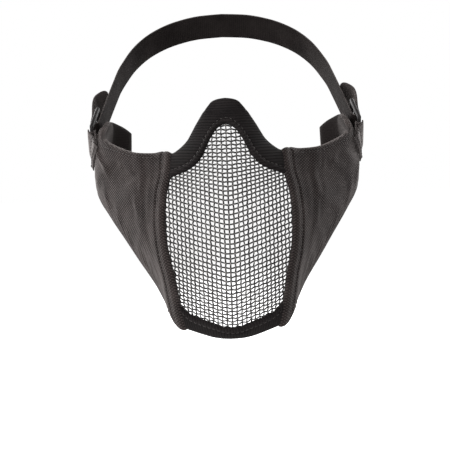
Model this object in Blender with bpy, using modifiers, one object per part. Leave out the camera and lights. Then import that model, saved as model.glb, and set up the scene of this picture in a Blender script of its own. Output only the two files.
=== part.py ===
"""A lower-face mask: a formed wire mesh panel in sewn fabric, padded cheek panels and one strap behind.

Metres, +Z up. The mask faces -Y. The origin is in the middle of the nose bridge, on its inner face.
"""

import math

import bmesh
import bpy
import numpy as np
from mathutils import Matrix, Vector

# Overall form
MASK_HEIGHT = 0.150  # top of the nose bridge to the bottom of the chin strip
NOSE_RISE = 0.0083  # top of the nose bridge above the origin
MASK_WIDTH = 0.1746  # across the widest part of the cheek panels
RIDGE_REACH = 0.0385  # the mesh ridge in front of the origin
WRAP_DEPTH = 0.096  # rear edge of the cheek panels behind the origin
WINDOW_WIDTH = 0.0780  # the open mesh at its widest

# Walls
MESH_THICKNESS = 0.0016
MESH_LAP = 0.0045  # how far the mesh runs behind the fabric
BINDING_THICKNESS = 0.0022  # nose bridge and chin strip
CHEEK_THICKNESS = 0.0065
HEM_WIDTH = 0.0052  # raised hem along the mesh
HEM_THICKNESS = 0.0034
PANEL_SHARE = 0.45  # how far the rest of a cheek panel stands out, as a share of the hem
PADDING_START = 2.3  # distance from the seam to where the panel thickens inward, in mesh laps
RIM_PINCH = (0.55, 0.85)  # wall at a cheek panel's rim and one row in from it
RIM_ROLL = 0.3  # how far the rim rolls inward, as a share of what the pinch takes off
LAP_GAP = 0.0008  # mesh to the fabric in front of it
FABRIC_GAP = 0.0003  # between pieces sewn edge to edge
EDGE_ROUND = 0.0006

# Mesh pattern: one opening here stands for several of the woven wire
MESH_PITCH = 0.0086
MESH_BAR = 0.0019
LEAST_OPENING = 0.3  # narrower ones at the window's edge stay closed, as a share of the pitch
SHEET_MARGIN = 1.6  # how far the sheet runs past the window before its trim, in mesh laps

# Strap, tabs and sliders
WEB_WIDTH = 0.020
STRAP_THICKNESS = 0.0014
TAB_THICKNESS = 0.0012
STRAP_RISE = math.radians(39)  # slope of the strap's plane up towards the back
STRAP_START_Y = 0.062  # where the strap's line crosses the widest part of the cheek
STRAP_START_Z = -0.0225
SLIDER_RUN = 0.0175  # from there along the strap's line to the slider
SLIDER_INSET = 0.0007  # slider's middle plane, inward from the mask's widest place
SLIDER_OUT = MASK_WIDTH / 2 - SLIDER_INSET
STRAP_REACH = 0.1165  # slider to the back of the loop, along the strap's plane
STRAP_STEP = 0.004  # spacing of the strap's rows round the loop
TAB_LENGTH = 0.0205  # slider's front bar to the front end of the inner layer
TAB_STEP = 0.003  # the outer layer is shorter by this
TAB_SEWN = 0.5  # share of its length from the bar at which the tab lies on the panel
TAIL_LENGTH = 0.0243  # doubled-back end of the strap, past the slider
TAIL_BULGE = 0.0038  # how far it arches out between the slider and its end
TAIL_SKEW = 1.6  # above 1, the arch is fullest nearer to the end
TAIL_TURN = 0.55  # share of its length after which the tail turns in to the strap
BAR_SPACING = 0.009
BAR_WIDTH = 0.0024
SLIDER_RAIL = 0.0034
SLIDER_THICKNESS = 0.0024
SLIDER_ROUND = 0.0007
WEB_PLAY = 0.0006  # webbing to the slider

HEM_LIFT = LAP_GAP + HEM_THICKNESS  # outer face of the hem in front of the form
PANEL_LIFT = PANEL_SHARE * HEM_LIFT  # outer face of the rest of a cheek panel
HALF_WIDTH = MASK_WIDTH / 2 - PANEL_LIFT
HALF_WINDOW = WINDOW_WIDTH / 2
STRAP_DROP = 0.36  # level at which the steps along a cheek panel are measured out

# Front of the form, a row per level. drop: share of MASK_HEIGHT below the top. ridge: share of RIDGE_REACH
# in front of the origin. edge: share of WRAP_DEPTH behind it, at half the window's width. round: ridge radius,
# a share of that half width.
FRONT = (
    # drop, ridge, edge, round
    (0.000, -0.035, 0.285, 0.34),
    (0.055, -0.020, 0.285, 0.34),
    (0.109, 0.13, 0.250, 0.32),
    (0.175, 0.34, 0.180, 0.28),
    (0.232, 0.51, 0.075, 0.25),
    (0.322, 0.745, -0.020, 0.22),
    (0.422, 0.915, -0.095, 0.20),
    (0.502, 0.98, -0.128, 0.20),
    (0.589, 1.00, -0.140, 0.20),
    (0.689, 0.96, -0.130, 0.20),
    (0.775, 0.845, -0.098, 0.22),
    (0.862, 0.62, -0.030, 0.26),
    (0.955, 0.30, 0.050, 0.30),
    (1.000, 0.10, 0.092, 0.32),
)
FRONT_BULGE = 0.30  # how much the flanks of the mesh bow forward
STEEPEST_START = 2.6  # slope of the sides at the seam, at most this many times their first chord

# Sides of the form, a row per level: outward shares of HALF_WIDTH and rearward shares of WRAP_DEPTH
# at the cheek, the side, the turn behind it and the rear edge.
SIDES = (
    # drop, cheek_out, cheek_back, side_out, side_back, turn_out, turn_back, rear_out, rear_back
    (0.082, 0.664, 0.229, 0.925, 0.594, 0.925, 0.833, 0.756, 0.969),
    (0.149, 0.676, 0.219, 0.965, 0.604, 0.938, 0.833, 0.762, 0.984),
    (0.232, 0.687, 0.198, 0.990, 0.625, 0.962, 0.854, 0.767, 1.000),
    (0.322, 0.699, 0.167, 1.000, 0.625, 0.974, 0.844, 0.779, 0.990),
    (0.422, 0.704, 0.130, 0.982, 0.615, 0.962, 0.833, 0.790, 0.974),
    (0.502, 0.693, 0.109, 0.928, 0.583, 0.928, 0.812, 0.790, 0.953),
    (0.589, 0.653, 0.094, 0.865, 0.552, 0.882, 0.792, 0.779, 0.938),
    (0.689, 0.590, 0.083, 0.785, 0.521, 0.813, 0.771, 0.756, 0.917),
    (0.775, 0.527, 0.073, 0.704, 0.500, 0.745, 0.750, 0.710, 0.896),
    (0.862, 0.481, 0.073, 0.630, 0.479, 0.676, 0.729, 0.664, 0.875),
    (0.955, 0.430, 0.094, 0.561, 0.469, 0.607, 0.708, 0.619, 0.854),
)

# Seam between the mesh window and the cheek panels: outward share of HALF_WINDOW at each level
SEAM = (
    # drop, out
    (0.232, 0.858),
    (0.322, 0.895),
    (0.375, 0.951),
    (0.435, 0.983),
    (0.502, 1.000),
    (0.582, 0.983),
    (0.655, 0.944),
    (0.709, 0.895),
    (0.769, 0.853),
    (0.815, 0.828),
    (0.862, 0.799),
    (0.909, 0.765),
    (0.957, 0.723),
)

# Nose bridge, from the centre down to the seam: its upper and its lower edge
NOSE_BAND = (
    # upper_out, upper_drop, lower_out, lower_drop
    (0.000, 0.000, 0.000, 0.108),
    (0.090, 0.003, 0.070, 0.114),
    (0.187, 0.012, 0.131, 0.125),
    (0.256, 0.032, 0.180, 0.139),
    (0.320, 0.056, 0.215, 0.152),
    (0.385, 0.085, 0.250, 0.167),
    (0.458, 0.116, 0.283, 0.184),
    (0.530, 0.150, 0.326, 0.208),
    (0.594, 0.178, 0.372, 0.232),
    (0.674, 0.201, 0.446, 0.258),
    (0.760, 0.219, 0.564, 0.285),
    (0.816, 0.228, 0.723, 0.305),
    (0.858, 0.232, 0.895, 0.322),
)

# Chin strip, from the centre out to the seam: its upper and its lower edge
CHIN_BAND = (
    # upper_out, upper_drop, lower_out, lower_drop
    (0.000, 0.955, 0.000, 1.000),
    (0.123, 0.951, 0.120, 0.999),
    (0.319, 0.932, 0.280, 0.993),
    (0.500, 0.915, 0.440, 0.981),
    (0.650, 0.897, 0.580, 0.969),
    (0.747, 0.877, 0.670, 0.961),
    (0.799, 0.862, 0.723, 0.957),
)

# Upper and lower edge of a cheek panel. back: share of the way from the seam to the rear edge
CHEEK_TOP = (
    # back, drop
    (0.00, 0.232),
    (0.05, 0.224),
    (0.11, 0.222),
    (0.18, 0.217),
    (0.25, 0.203),
    (0.33, 0.182),
    (0.42, 0.158),
    (0.51, 0.129),
    (0.62, 0.102),
    (0.75, 0.088),
    (0.86, 0.089),
    (0.94, 0.108),
    (1.00, 0.140),
)
CHEEK_BOTTOM = (
    # back, drop
    (0.00, 0.957),
    (0.05, 0.944),
    (0.09, 0.915),
    (0.14, 0.882),
    (0.21, 0.832),
    (0.28, 0.769),
    (0.33, 0.709),
    (0.38, 0.635),
    (0.44, 0.562),
    (0.51, 0.489),
    (0.60, 0.429),
    (0.72, 0.389),
    (0.86, 0.365),
    (1.00, 0.349),
)

# The strap's line from the slider round to the middle of the back
STRAP_LINE = (
    # run (share of STRAP_REACH), out (share of SLIDER_OUT)
    (0.000, 1.000),
    (0.120, 0.9655),
    (0.240, 0.930),
    (0.380, 0.886),
    (0.470, 0.856),
    (0.560, 0.812),
    (0.680, 0.740),
    (0.823, 0.598),
    (0.934, 0.390),
    (0.987, 0.180),
    (1.000, 0.000),
)

RIPSTOP = ((0.030, 0.030, 0.031, 1), 0.75, 0.0)
RIBBED = ((0.020, 0.020, 0.021, 1), 0.80, 0.0)
WIRE = ((0.035, 0.036, 0.038, 1), 0.38, 1.0)
WEBBING = ((0.018, 0.018, 0.019, 1), 0.70, 0.0)
PLASTIC = ((0.014, 0.014, 0.015, 1), 0.42, 0.0)


def slopes(x, y, first=None):
    """Slopes of a smooth curve through the points that never overshoots them."""
    step = np.diff(x)
    chord = np.diff(y) / step
    m = np.zeros(len(x))
    for i in range(1, len(x) - 1):
        if chord[i - 1] * chord[i] > 0:
            before = 2 * step[i] + step[i - 1]
            after = step[i] + 2 * step[i - 1]
            m[i] = (before + after) / (before / chord[i - 1] + after / chord[i])
    m[0] = (3 * chord[0] - m[1]) / 2 if first is None else first
    m[-1] = (3 * chord[-1] - m[-2]) / 2
    return m


def curve_at(x, y, where, first=None):
    """The smooth curve through the points (x, y), read at where."""
    x = np.asarray(x, float)
    y = np.asarray(y, float)
    m = slopes(x, y, first)
    k = int(np.clip(np.searchsorted(x, where) - 1, 0, len(x) - 2))
    h = x[k + 1] - x[k]
    t = float(np.clip((where - x[k]) / h, 0, 1))
    return (
        (1 + 2 * t) * (1 - t) ** 2 * y[k]
        + t * (1 - t) ** 2 * h * m[k]
        + t * t * (3 - 2 * t) * y[k + 1]
        + t * t * (t - 1) * h * m[k + 1]
    )


def column(table, number, drop):
    return curve_at([row[0] for row in table], [row[number] for row in table], drop)


def drop_of(z):
    return (NOSE_RISE - z) / MASK_HEIGHT


def level(drop):
    return NOSE_RISE - drop * MASK_HEIGHT


def ease(t):
    t = min(max(t, 0.0), 1.0)
    return t * t * (3 - 2 * t)


def front_depth(x, drop):
    """Y of the form's outer face in front, at x from the centre plane."""
    ridge = -RIDGE_REACH * column(FRONT, 1, drop)
    edge = WRAP_DEPTH * column(FRONT, 2, drop)
    soft = column(FRONT, 3, drop)
    t = abs(x) / HALF_WINDOW
    wedge = (math.hypot(t, soft) - soft) / (math.hypot(1, soft) - soft)
    return ridge + (edge - ridge) * ((1 - FRONT_BULGE) * wedge + FRONT_BULGE * t * t)


def seam_out(drop):
    return HALF_WINDOW * column(SEAM, 1, drop)


def side_point(back, drop):
    """A point of the form's outer face between the seam (back 0) and the rear edge (back 1), on the right."""
    seam = seam_out(drop)
    start = front_depth(seam, drop)
    probe = 0.001
    rise = (front_depth(seam, drop) - front_depth(seam - probe, drop)) / probe
    outs = [seam] + [HALF_WIDTH * column(SIDES, k, drop) for k in (1, 3, 5, 7)]
    backs = [start] + [WRAP_DEPTH * column(SIDES, k, drop) for k in (2, 4, 6, 8)]
    y = start + back * (backs[-1] - start)
    limit = STEEPEST_START * (outs[1] - outs[0]) / (backs[1] - backs[0])
    x = curve_at(backs, outs, y, min(1 / rise, limit))
    return np.array((x, y, level(drop)))


def form_depth(x, drop):
    """Y of the form's outer face at x, in front and past the seam."""
    if abs(x) <= seam_out(drop):
        return front_depth(x, drop)
    low, high = 0.0, 0.4
    for _ in range(20):
        middle = (low + high) / 2
        if side_point(middle, drop)[0] < abs(x):
            low = middle
        else:
            high = middle
    return side_point(low, drop)[1]


def side_at(y, z):
    """The form's outer face on the right at y and z: the point and its outward normal."""
    drop = drop_of(z)
    start = side_point(0, drop)[1]
    end = side_point(1, drop)[1]
    back = (y - start) / (end - start)
    step = 0.01
    point = side_point(back, drop)
    along = side_point(back + step, drop) - side_point(back - step, drop)
    down = side_point(back, drop + step) - side_point(back, drop - step)
    normal = np.cross(along, down)
    normal /= np.linalg.norm(normal)
    return point, normal if normal[0] > 0 else -normal


def grid_normals(grid):
    """Unit normals of a grid of points, pointing out of the form."""
    along = np.gradient(grid, axis=0)
    across = np.gradient(grid, axis=1)
    normal = np.cross(along, across)
    normal /= np.linalg.norm(normal, axis=2, keepdims=True)
    away = grid - np.array((0.0, WRAP_DEPTH / 2, 0.0))
    away[..., 2] = 0
    flip = np.sign((normal * away).sum(axis=2, keepdims=True))
    return normal * flip


def material(name, look):
    made = bpy.data.materials.new(name)
    made.use_nodes = True
    shader = made.node_tree.nodes["Principled BSDF"]
    shader.inputs["Base Color"].default_value = look[0]
    shader.inputs["Roughness"].default_value = look[1]
    shader.inputs["Metallic"].default_value = look[2]
    made.diffuse_color = look[0]
    return made


def add_object(name, mesh, look, collection):
    made = bpy.data.objects.new(name, mesh)
    collection.objects.link(made)
    if look is not None:
        mesh.materials.append(material(name, look))
        mesh.shade_smooth()
        mesh.set_sharp_from_angle(angle=math.radians(40))
    else:
        made.hide_render = True
        made.display_type = "WIRE"
    return made


def sheet_mesh(name, grid):
    """An open surface of quads through a grid of points, facing out of the form."""
    rows, columns = grid.shape[:2]
    bm = bmesh.new()
    verts = [bm.verts.new(point) for point in grid.reshape(-1, 3)]
    for i in range(rows - 1):
        for j in range(columns - 1):
            a = i * columns + j
            bm.faces.new([verts[k] for k in (a, a + 1, a + columns + 1, a + columns)])
    bm.normal_update()
    middle = grid[rows // 2, columns // 2]
    normal = grid_normals(grid)[rows // 2, columns // 2]
    face = min(bm.faces, key=lambda f: (f.calc_center_median() - Vector(middle)).length)
    if face.normal.dot(Vector(normal)) < 0:
        bmesh.ops.reverse_faces(bm, faces=bm.faces)
    mesh = bpy.data.meshes.new(name)
    bm.to_mesh(mesh)
    bm.free()
    return mesh


def thicken(made, thickness, offset=-1.0, shares=None):
    """Solidify with the given wall; shares, if any, gives each vertex its part of it."""
    solid = made.modifiers.new("wall", "SOLIDIFY")
    solid.thickness = thickness
    solid.offset = offset
    solid.use_even_offset = True
    if shares is not None:
        group = made.vertex_groups.new(name="wall")
        for index, share in enumerate(shares):
            group.add([index], float(share), "REPLACE")
        solid.vertex_group = group.name
        solid.use_even_offset = False
    return solid


def round_rim(made, width=EDGE_ROUND, segments=2):
    bevel = made.modifiers.new("rim", "BEVEL")
    bevel.width = width
    bevel.segments = segments
    bevel.limit_method = "ANGLE"
    bevel.angle_limit = math.radians(55)
    bevel.use_clamp_overlap = True
    return bevel


def mirrored(made):
    mirror = made.modifiers.new("halves", "MIRROR")
    mirror.use_clip = True
    mirror.merge_threshold = 0.00005
    return mirror


def cut(made, cutter, operation="DIFFERENCE"):
    boolean = made.modifiers.new(cutter.name, "BOOLEAN")
    boolean.operation = operation
    boolean.solver = "EXACT"
    boolean.object = cutter
    return boolean


def band_rows(table, steps):
    """Rows of a band's table as smooth curves of its length, at steps + 1 places."""
    reach = [0.0]
    for before, after in zip(table, table[1:]):
        across = HALF_WINDOW * (before[2] - after[2])
        down = MASK_HEIGHT * (before[3] - after[3])
        reach.append(reach[-1] + math.hypot(across, down))
    places = np.linspace(0, reach[-1], steps + 1)
    return [[curve_at(reach, [row[k] for row in table], place) for k in range(4)] for place in places]


def band(name, table, steps, across, look, collection):
    """A fabric band in front of the mesh's edge, between an upper and a lower edge; its ends stop at the seam."""
    rows = band_rows(table, steps)
    grid = np.zeros((len(rows), across + 1, 3))
    for i, (upper_out, upper_drop, lower_out, lower_drop) in enumerate(rows):
        for j in range(across + 1):
            t = j / across
            drop = upper_drop + (lower_drop - upper_drop) * t
            x = HALF_WINDOW * (upper_out + (lower_out - upper_out) * t)
            if i == len(rows) - 1:
                x = seam_out(drop)
            x -= FABRIC_GAP * ease((i - len(rows) + 3) / 2)
            grid[i, j] = (max(x, 0.0), front_depth(x, drop), level(drop))
    normals = grid_normals(grid)
    normals[0, :, 0] = 0.0
    normals[0] /= np.linalg.norm(normals[0], axis=1, keepdims=True)
    grid += normals * (LAP_GAP + BINDING_THICKNESS)
    made = add_object(name, sheet_mesh(name, grid), look, collection)
    mirrored(made)
    thicken(made, BINDING_THICKNESS)
    round_rim(made)
    return made


def cheek_panel(side, look, collection):
    """A padded panel from the seam back to its rear edge: outer face, wall and raised hem."""
    name = "cheek_panel_" + ("right" if side > 0 else "left")
    rows, columns = 12, 20
    shares_back = np.linspace(0, 1, 61)
    probe = np.array([side_point(t, STRAP_DROP) for t in shares_back])
    arc = np.concatenate([[0], np.cumsum(np.linalg.norm(np.diff(probe, axis=0), axis=1))])
    hem = [share * HEM_WIDTH for share in (0.0, 0.25, 0.75, 1.0, 1.35, 1.9)]
    rest = np.linspace(hem[-1], arc[-1], columns - len(hem) + 2)[1:]
    backs = np.interp(hem + list(rest), arc, shares_back)
    grid = np.zeros((len(backs), rows + 1, 3))
    for i, back in enumerate(backs):
        top = curve_at([r[0] for r in CHEEK_TOP], [r[1] for r in CHEEK_TOP], back)
        bottom = curve_at([r[0] for r in CHEEK_BOTTOM], [r[1] for r in CHEEK_BOTTOM], back)
        for j in range(rows + 1):
            grid[i, j] = side_point(back, bottom + (top - bottom) * j / rows)
    seam = np.array([side_point(0, drop) for drop in np.linspace(SEAM[0][0], SEAM[-1][0], 60)])
    reach = np.linalg.norm(grid[:, :, None] - seam, axis=3).min(axis=2)
    normals = grid_normals(grid)
    shares = np.zeros(grid.shape[:2])
    lift = np.zeros(grid.shape[:2])
    for i in range(grid.shape[0]):
        for j in range(grid.shape[1]):
            lift[i, j] = HEM_LIFT + (PANEL_LIFT - HEM_LIFT) * ease((reach[i, j] - HEM_WIDTH) / (0.5 * HEM_WIDTH))
            inner = LAP_GAP + (PANEL_LIFT - CHEEK_THICKNESS - LAP_GAP) * ease(
                (reach[i, j] - PADDING_START * MESH_LAP) / HEM_WIDTH
            )
            rim = min(j, grid.shape[1] - 1 - j, grid.shape[0] - 1 - i)
            pinch = (RIM_PINCH + (1.0,))[min(rim, len(RIM_PINCH))]
            shares[i, j] = (lift[i, j] - inner) * pinch / CHEEK_THICKNESS
            roll = RIM_ROLL * (1 - pinch) * CHEEK_THICKNESS
            lift[i, j] -= roll * ease(reach[i, j] / (3 * HEM_WIDTH))
    grid += normals * lift[..., None]
    grid[..., 0] *= side
    made = add_object(name, sheet_mesh(name, grid), look, collection)
    thicken(made, CHEEK_THICKNESS, shares=shares.reshape(-1))
    round_rim(made)
    return made


def window_half(drop):
    """Half the open window's width at a level."""
    nose = [(row[3], row[2]) for row in NOSE_BAND]
    chin = [(row[1], row[0]) for row in reversed(CHIN_BAND)]
    if drop < nose[-1][0]:
        return HALF_WINDOW * np.interp(drop, *zip(*nose))
    if drop > chin[0][0]:
        return HALF_WINDOW * np.interp(drop, *zip(*chin))
    return seam_out(drop)


def window_outline(margin):
    """The window's outline on the right half, from the top of the centre line to its bottom, moved out by margin."""
    line = [(HALF_WINDOW * row[2], level(row[3])) for row in band_rows(NOSE_BAND, 16)]
    nose_end, chin_start = NOSE_BAND[-1][3], CHIN_BAND[-1][1]
    line += [(seam_out(d), level(d)) for d in np.linspace(nose_end, chin_start, 16)[1:-1]]
    line += [(HALF_WINDOW * row[0], level(row[1])) for row in reversed(band_rows(CHIN_BAND, 10))]
    line = np.array(line)
    along = np.gradient(line, axis=0)
    out = np.stack([-along[:, 1], along[:, 0]], axis=1)
    out /= np.linalg.norm(out, axis=1, keepdims=True)
    out[0] = (0, 1)
    out[-1] = (0, -1)
    moved = line + out * margin
    moved[0, 0] = moved[-1, 0] = 0.0
    return moved


def prism(name, corners, front, back, collection):
    """A flat outline in X and Z filled and drawn out along Y."""
    data = bpy.data.curves.new(name, "CURVE")
    data.dimensions = "2D"
    data.fill_mode = "BOTH"
    data.extrude = (back - front) / 2
    spline = data.splines.new("POLY")
    spline.points.add(len(corners) - 1)
    for point, (x, z) in zip(spline.points, corners):
        point.co = (x, z, 0, 1)
    spline.use_cyclic_u = True
    guide = bpy.data.objects.new(name + "_outline", data)
    collection.objects.link(guide)
    guide.matrix_world = Matrix.Translation((0, (front + back) / 2, 0)) @ Matrix.Rotation(math.pi / 2, 4, "X")
    bpy.context.view_layer.update()
    graph = bpy.context.evaluated_depsgraph_get()
    mesh = bpy.data.meshes.new_from_object(guide.evaluated_get(graph))
    bm = bmesh.new()
    bm.from_mesh(mesh)
    bmesh.ops.remove_doubles(bm, verts=bm.verts, dist=0.00002)
    bmesh.ops.recalc_face_normals(bm, faces=bm.faces)
    bm.to_mesh(mesh)
    bm.free()
    made = add_object(name, mesh, None, collection)
    made.matrix_world = guide.matrix_world
    bpy.data.objects.remove(guide)
    return made


def lattice():
    """Rows of the lattice on the window's centre line, the height of its first bar, and columns on one side."""
    top, bottom = NOSE_BAND[0][3], CHIN_BAND[0][1]
    tall = (bottom - top) * MASK_HEIGHT
    rows = int(tall / MESH_PITCH)
    return rows, level(top) - (tall - rows * MESH_PITCH) / 2, int(HALF_WINDOW / MESH_PITCH) + 1


def mesh_openings(collection):
    """One cutter for all openings of the lattice: a four-sided prism for each."""
    front, back = -2 * RIDGE_REACH, WRAP_DEPTH
    rows, first, columns = lattice()
    bm = bmesh.new()
    for r in range(rows):
        high = first - r * MESH_PITCH - MESH_BAR / 2
        low = first - (r + 1) * MESH_PITCH + MESH_BAR / 2
        limits = [window_half(drop_of(z)) - MESH_BAR / 3 for z in (high, low)]
        for c in range(columns):
            inner = c * MESH_PITCH + MESH_BAR / 2
            full = (c + 1) * MESH_PITCH - MESH_BAR / 2
            if full + MESH_PITCH / 3 > max(limits):
                full = max(full, max(limits))
            outer = [max(min(full, limit), inner + MESH_BAR / 4) for limit in limits]
            if sum(outer) / 2 - inner < LEAST_OPENING * MESH_PITCH:
                continue
            for side in (-1, 1):
                cube = bmesh.ops.create_cube(bm, size=1.0)["verts"]
                for vert in cube:
                    upper = vert.co.z > 0
                    away = outer[0 if upper else 1] if vert.co.x * side > 0 else inner
                    y = back if vert.co.y > 0 else front
                    vert.co = (side * away, y, high if upper else low)
    bmesh.ops.recalc_face_normals(bm, faces=bm.faces)
    mesh = bpy.data.meshes.new("mesh_openings")
    bm.to_mesh(mesh)
    bm.free()
    return add_object("mesh_openings", mesh, None, collection)


def mesh_panel(look, collection, cutters):
    """The formed mesh as a lattice: a sheet with its lines on the bars, trimmed to the outline and cut through."""
    rows, first, columns = lattice()
    xs = [c * MESH_PITCH for c in range(columns + 1)]
    while xs[-1] < HALF_WINDOW + SHEET_MARGIN * MESH_LAP:
        xs.append(min(xs[-1] + MESH_PITCH, HALF_WINDOW + SHEET_MARGIN * MESH_LAP))
    zs = [first - r * MESH_PITCH for r in (-1, -0.5, *range(rows + 2))]
    grid = np.zeros((len(xs), len(zs), 3))
    for i, x in enumerate(xs):
        for j, z in enumerate(zs):
            grid[i, j] = (x, form_depth(x, drop_of(z)), z)
    made = add_object("mesh_panel", sheet_mesh("mesh_panel", grid), look, collection)
    mirrored(made)
    thicken(made, MESH_THICKNESS)
    half = window_outline(MESH_LAP)
    outline = list(half) + [(-x, z) for x, z in half[-2:0:-1]]
    trim = prism("mesh_trim", outline, -2 * RIDGE_REACH, WRAP_DEPTH, cutters)
    cut(made, trim, "INTERSECT")
    cut(made, mesh_openings(cutters))
    return made


def strap_place(run, width, out):
    """World place of a point of the strap's plane: run along it from its start, width across it, out from the centre."""
    along = np.array((0.0, math.cos(STRAP_RISE), math.sin(STRAP_RISE)))
    up = np.array((0.0, -math.sin(STRAP_RISE), math.cos(STRAP_RISE)))
    start = np.array((0.0, STRAP_START_Y, STRAP_START_Z))
    return start + along * run + up * width + np.array((out, 0.0, 0.0))


def strap_line(spacing):
    """Points (run, out) of the strap's line from the slider to the back, evenly spaced."""
    runs = np.array([row[0] for row in STRAP_LINE]) * STRAP_REACH + SLIDER_RUN
    outs = np.array([row[1] for row in STRAP_LINE]) * SLIDER_OUT
    chord = np.concatenate([[0], np.cumsum(np.hypot(np.diff(runs), np.diff(outs)))])
    fine = np.linspace(0, chord[-1], 200)
    line = np.array([(curve_at(chord, runs, c), curve_at(chord, outs, c)) for c in fine])
    arc = np.concatenate([[0], np.cumsum(np.linalg.norm(np.diff(line, axis=0), axis=1))])
    places = np.linspace(0, arc[-1], int(arc[-1] / spacing) + 1)
    return np.stack([np.interp(places, arc, line[:, k]) for k in (0, 1)], axis=1)


def slider_axes():
    """In the strap's plane (run, out): the slider's centre, the direction along the strap and the one outward."""
    line = strap_line(STRAP_STEP / 2)
    along = line[3] - line[0]
    along /= np.linalg.norm(along)
    return line[0], along, np.array((-along[1], along[0]))


def ribbon(name, lines, thickness, look, collection):
    """Webbing through rows of points across its width, with its wall on both sides of them."""
    made = add_object(name, sheet_mesh(name, np.array(lines)), look, collection)
    thicken(made, thickness, offset=0.0)
    return made


def half_turn(radius, steps=10):
    """Points (along, outward) of a turn round a bar's front, from its inner side to its outer side."""
    angles = np.linspace(0, math.pi, steps + 1)
    return [(-radius * math.sin(a), -radius * math.cos(a)) for a in angles]


def head_strap(look, collection):
    """The whole strap: doubled-back ends outside, round the middle bars, and round the back."""
    centre, along, outward = slider_axes()
    radius = max(BAR_WIDTH, SLIDER_THICKNESS) / 2 + WEB_PLAY + STRAP_THICKNESS / 2
    line = strap_line(STRAP_STEP)
    tangents = np.gradient(line, axis=0)
    tangents /= np.linalg.norm(tangents, axis=1, keepdims=True)
    normals = np.stack([-tangents[:, 1], tangents[:, 0]], axis=1)
    over = BAR_SPACING + BAR_WIDTH
    apart = STRAP_THICKNESS + 2 * WEB_PLAY
    half = []
    for t in np.linspace(over + TAIL_LENGTH, 0, 16):
        near = ease((t - over - TAIL_TURN * TAIL_LENGTH) / ((1 - TAIL_TURN) * TAIL_LENGTH))
        place = int(np.argmin(np.abs(np.linalg.norm(line - centre, axis=1) - t)))
        follow = line[place] + along * (t - np.linalg.norm(line[place] - centre))
        straight = centre + along * t + outward * radius
        arch = outward * TAIL_BULGE * math.sin(math.pi * (t / (over + TAIL_LENGTH)) ** TAIL_SKEW)
        half.append(straight * (1 - near) + (follow + normals[place] * (apart - radius)) * near + arch)
    half += [centre + along * a + outward * o for a, o in half_turn(radius)[::-1][1:-1]]
    for k, (point, normal) in enumerate(zip(line, normals)):
        half.append(point - normal * radius)
    half = np.array(half)
    half[-1, 1] = 0.0
    whole = [(run, out, 1) for run, out in half] + [(run, out, -1) for run, out in half[-2::-1]]
    widths = np.linspace(-WEB_WIDTH / 2, WEB_WIDTH / 2, 3)
    lines = [[strap_place(run, w, side * out) for w in widths] for run, out, side in whole]
    return ribbon("head_strap", lines, STRAP_THICKNESS, look, collection)


def strap_slider(side, look, collection, cutters):
    """A moulded frame with three bars across the strap."""
    tag = "right" if side > 0 else "left"
    centre, along, outward = slider_axes()
    slot_width = WEB_WIDTH + 4 * WEB_PLAY
    length = 2 * BAR_SPACING + BAR_WIDTH
    height = slot_width + 2 * SLIDER_RAIL
    run_axis = strap_place(1, 0, 0) - strap_place(0, 0, 0)
    out_axis = np.array((side, 0.0, 0.0))
    x_axis = run_axis * along[0] + out_axis * along[1]
    y_axis = side * (strap_place(0, 1, 0) - strap_place(0, 0, 0))
    z_axis = run_axis * outward[0] + out_axis * outward[1]
    place = Matrix(np.column_stack([x_axis, y_axis, z_axis]).tolist()).to_4x4()
    place.translation = Vector(strap_place(centre[0], 0, side * centre[1]))

    def block(name, size, shift, look, group):
        bm = bmesh.new()
        bmesh.ops.create_cube(bm, size=1.0)
        bmesh.ops.scale(bm, vec=size, verts=bm.verts)
        bmesh.ops.translate(bm, vec=shift, verts=bm.verts)
        mesh = bpy.data.meshes.new(name)
        bm.to_mesh(mesh)
        bm.free()
        made = add_object(name, mesh, look, group)
        made.matrix_world = place
        return made

    made = block("strap_slider_" + tag, (length, height, SLIDER_THICKNESS), (0, 0, 0), look, collection)
    opening = BAR_SPACING - BAR_WIDTH
    for k, name in ((-1, "front_slot_"), (1, "rear_slot_")):
        size = (opening, slot_width, 3 * SLIDER_THICKNESS)
        slot = block(name + tag, size, (k * BAR_SPACING / 2, 0, 0), None, cutters)
        cut(made, slot)
    round_rim(made, SLIDER_ROUND)
    return made


def strap_tab(side, look, collection):
    """Doubled webbing: both layers on the cheek panel, looped round the slider's front bar."""
    name = "strap_tab_" + ("right" if side > 0 else "left")
    centre, along, outward = slider_axes()
    bar = centre - along * BAR_SPACING
    radius = max(BAR_WIDTH, SLIDER_THICKNESS) / 2 + WEB_PLAY + TAB_THICKNESS / 2
    inner_lift = PANEL_LIFT + 2 * FABRIC_GAP + TAB_THICKNESS / 2
    outer_lift = inner_lift + TAB_THICKNESS + FABRIC_GAP
    widths = np.linspace(-WEB_WIDTH / 2, WEB_WIDTH / 2, 5)

    def layer(t, lift, offset):
        """A row across the webbing, t in front of the bar: on the panel far from it, at the bar's side near it."""
        near = 1 - ease(t / (TAB_SEWN * TAB_LENGTH))
        row = []
        for w in widths:
            at_bar = bar - along * t + outward * offset
            free = strap_place(at_bar[0], w, at_bar[1])
            on_line = strap_place(bar[0] - t, w, 0.0)
            point, normal = side_at(on_line[1], on_line[2])
            resting = point + normal * lift
            row.append(free * near + resting * (1 - near))
        return row

    steps = np.linspace(1, 0, 10)
    lines = [layer(TAB_LENGTH * s, inner_lift, -radius) for s in steps]
    for a, o in half_turn(radius)[1:-1]:
        turn = bar - along * a + outward * o
        lines.append([strap_place(turn[0], w, turn[1]) for w in widths])
    lines += [layer((TAB_LENGTH - TAB_STEP) * s, outer_lift, radius) for s in steps[::-1]]
    lines = np.array(lines)
    lines[..., 0] *= side
    return ribbon(name, lines, TAB_THICKNESS, look, collection)


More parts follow.
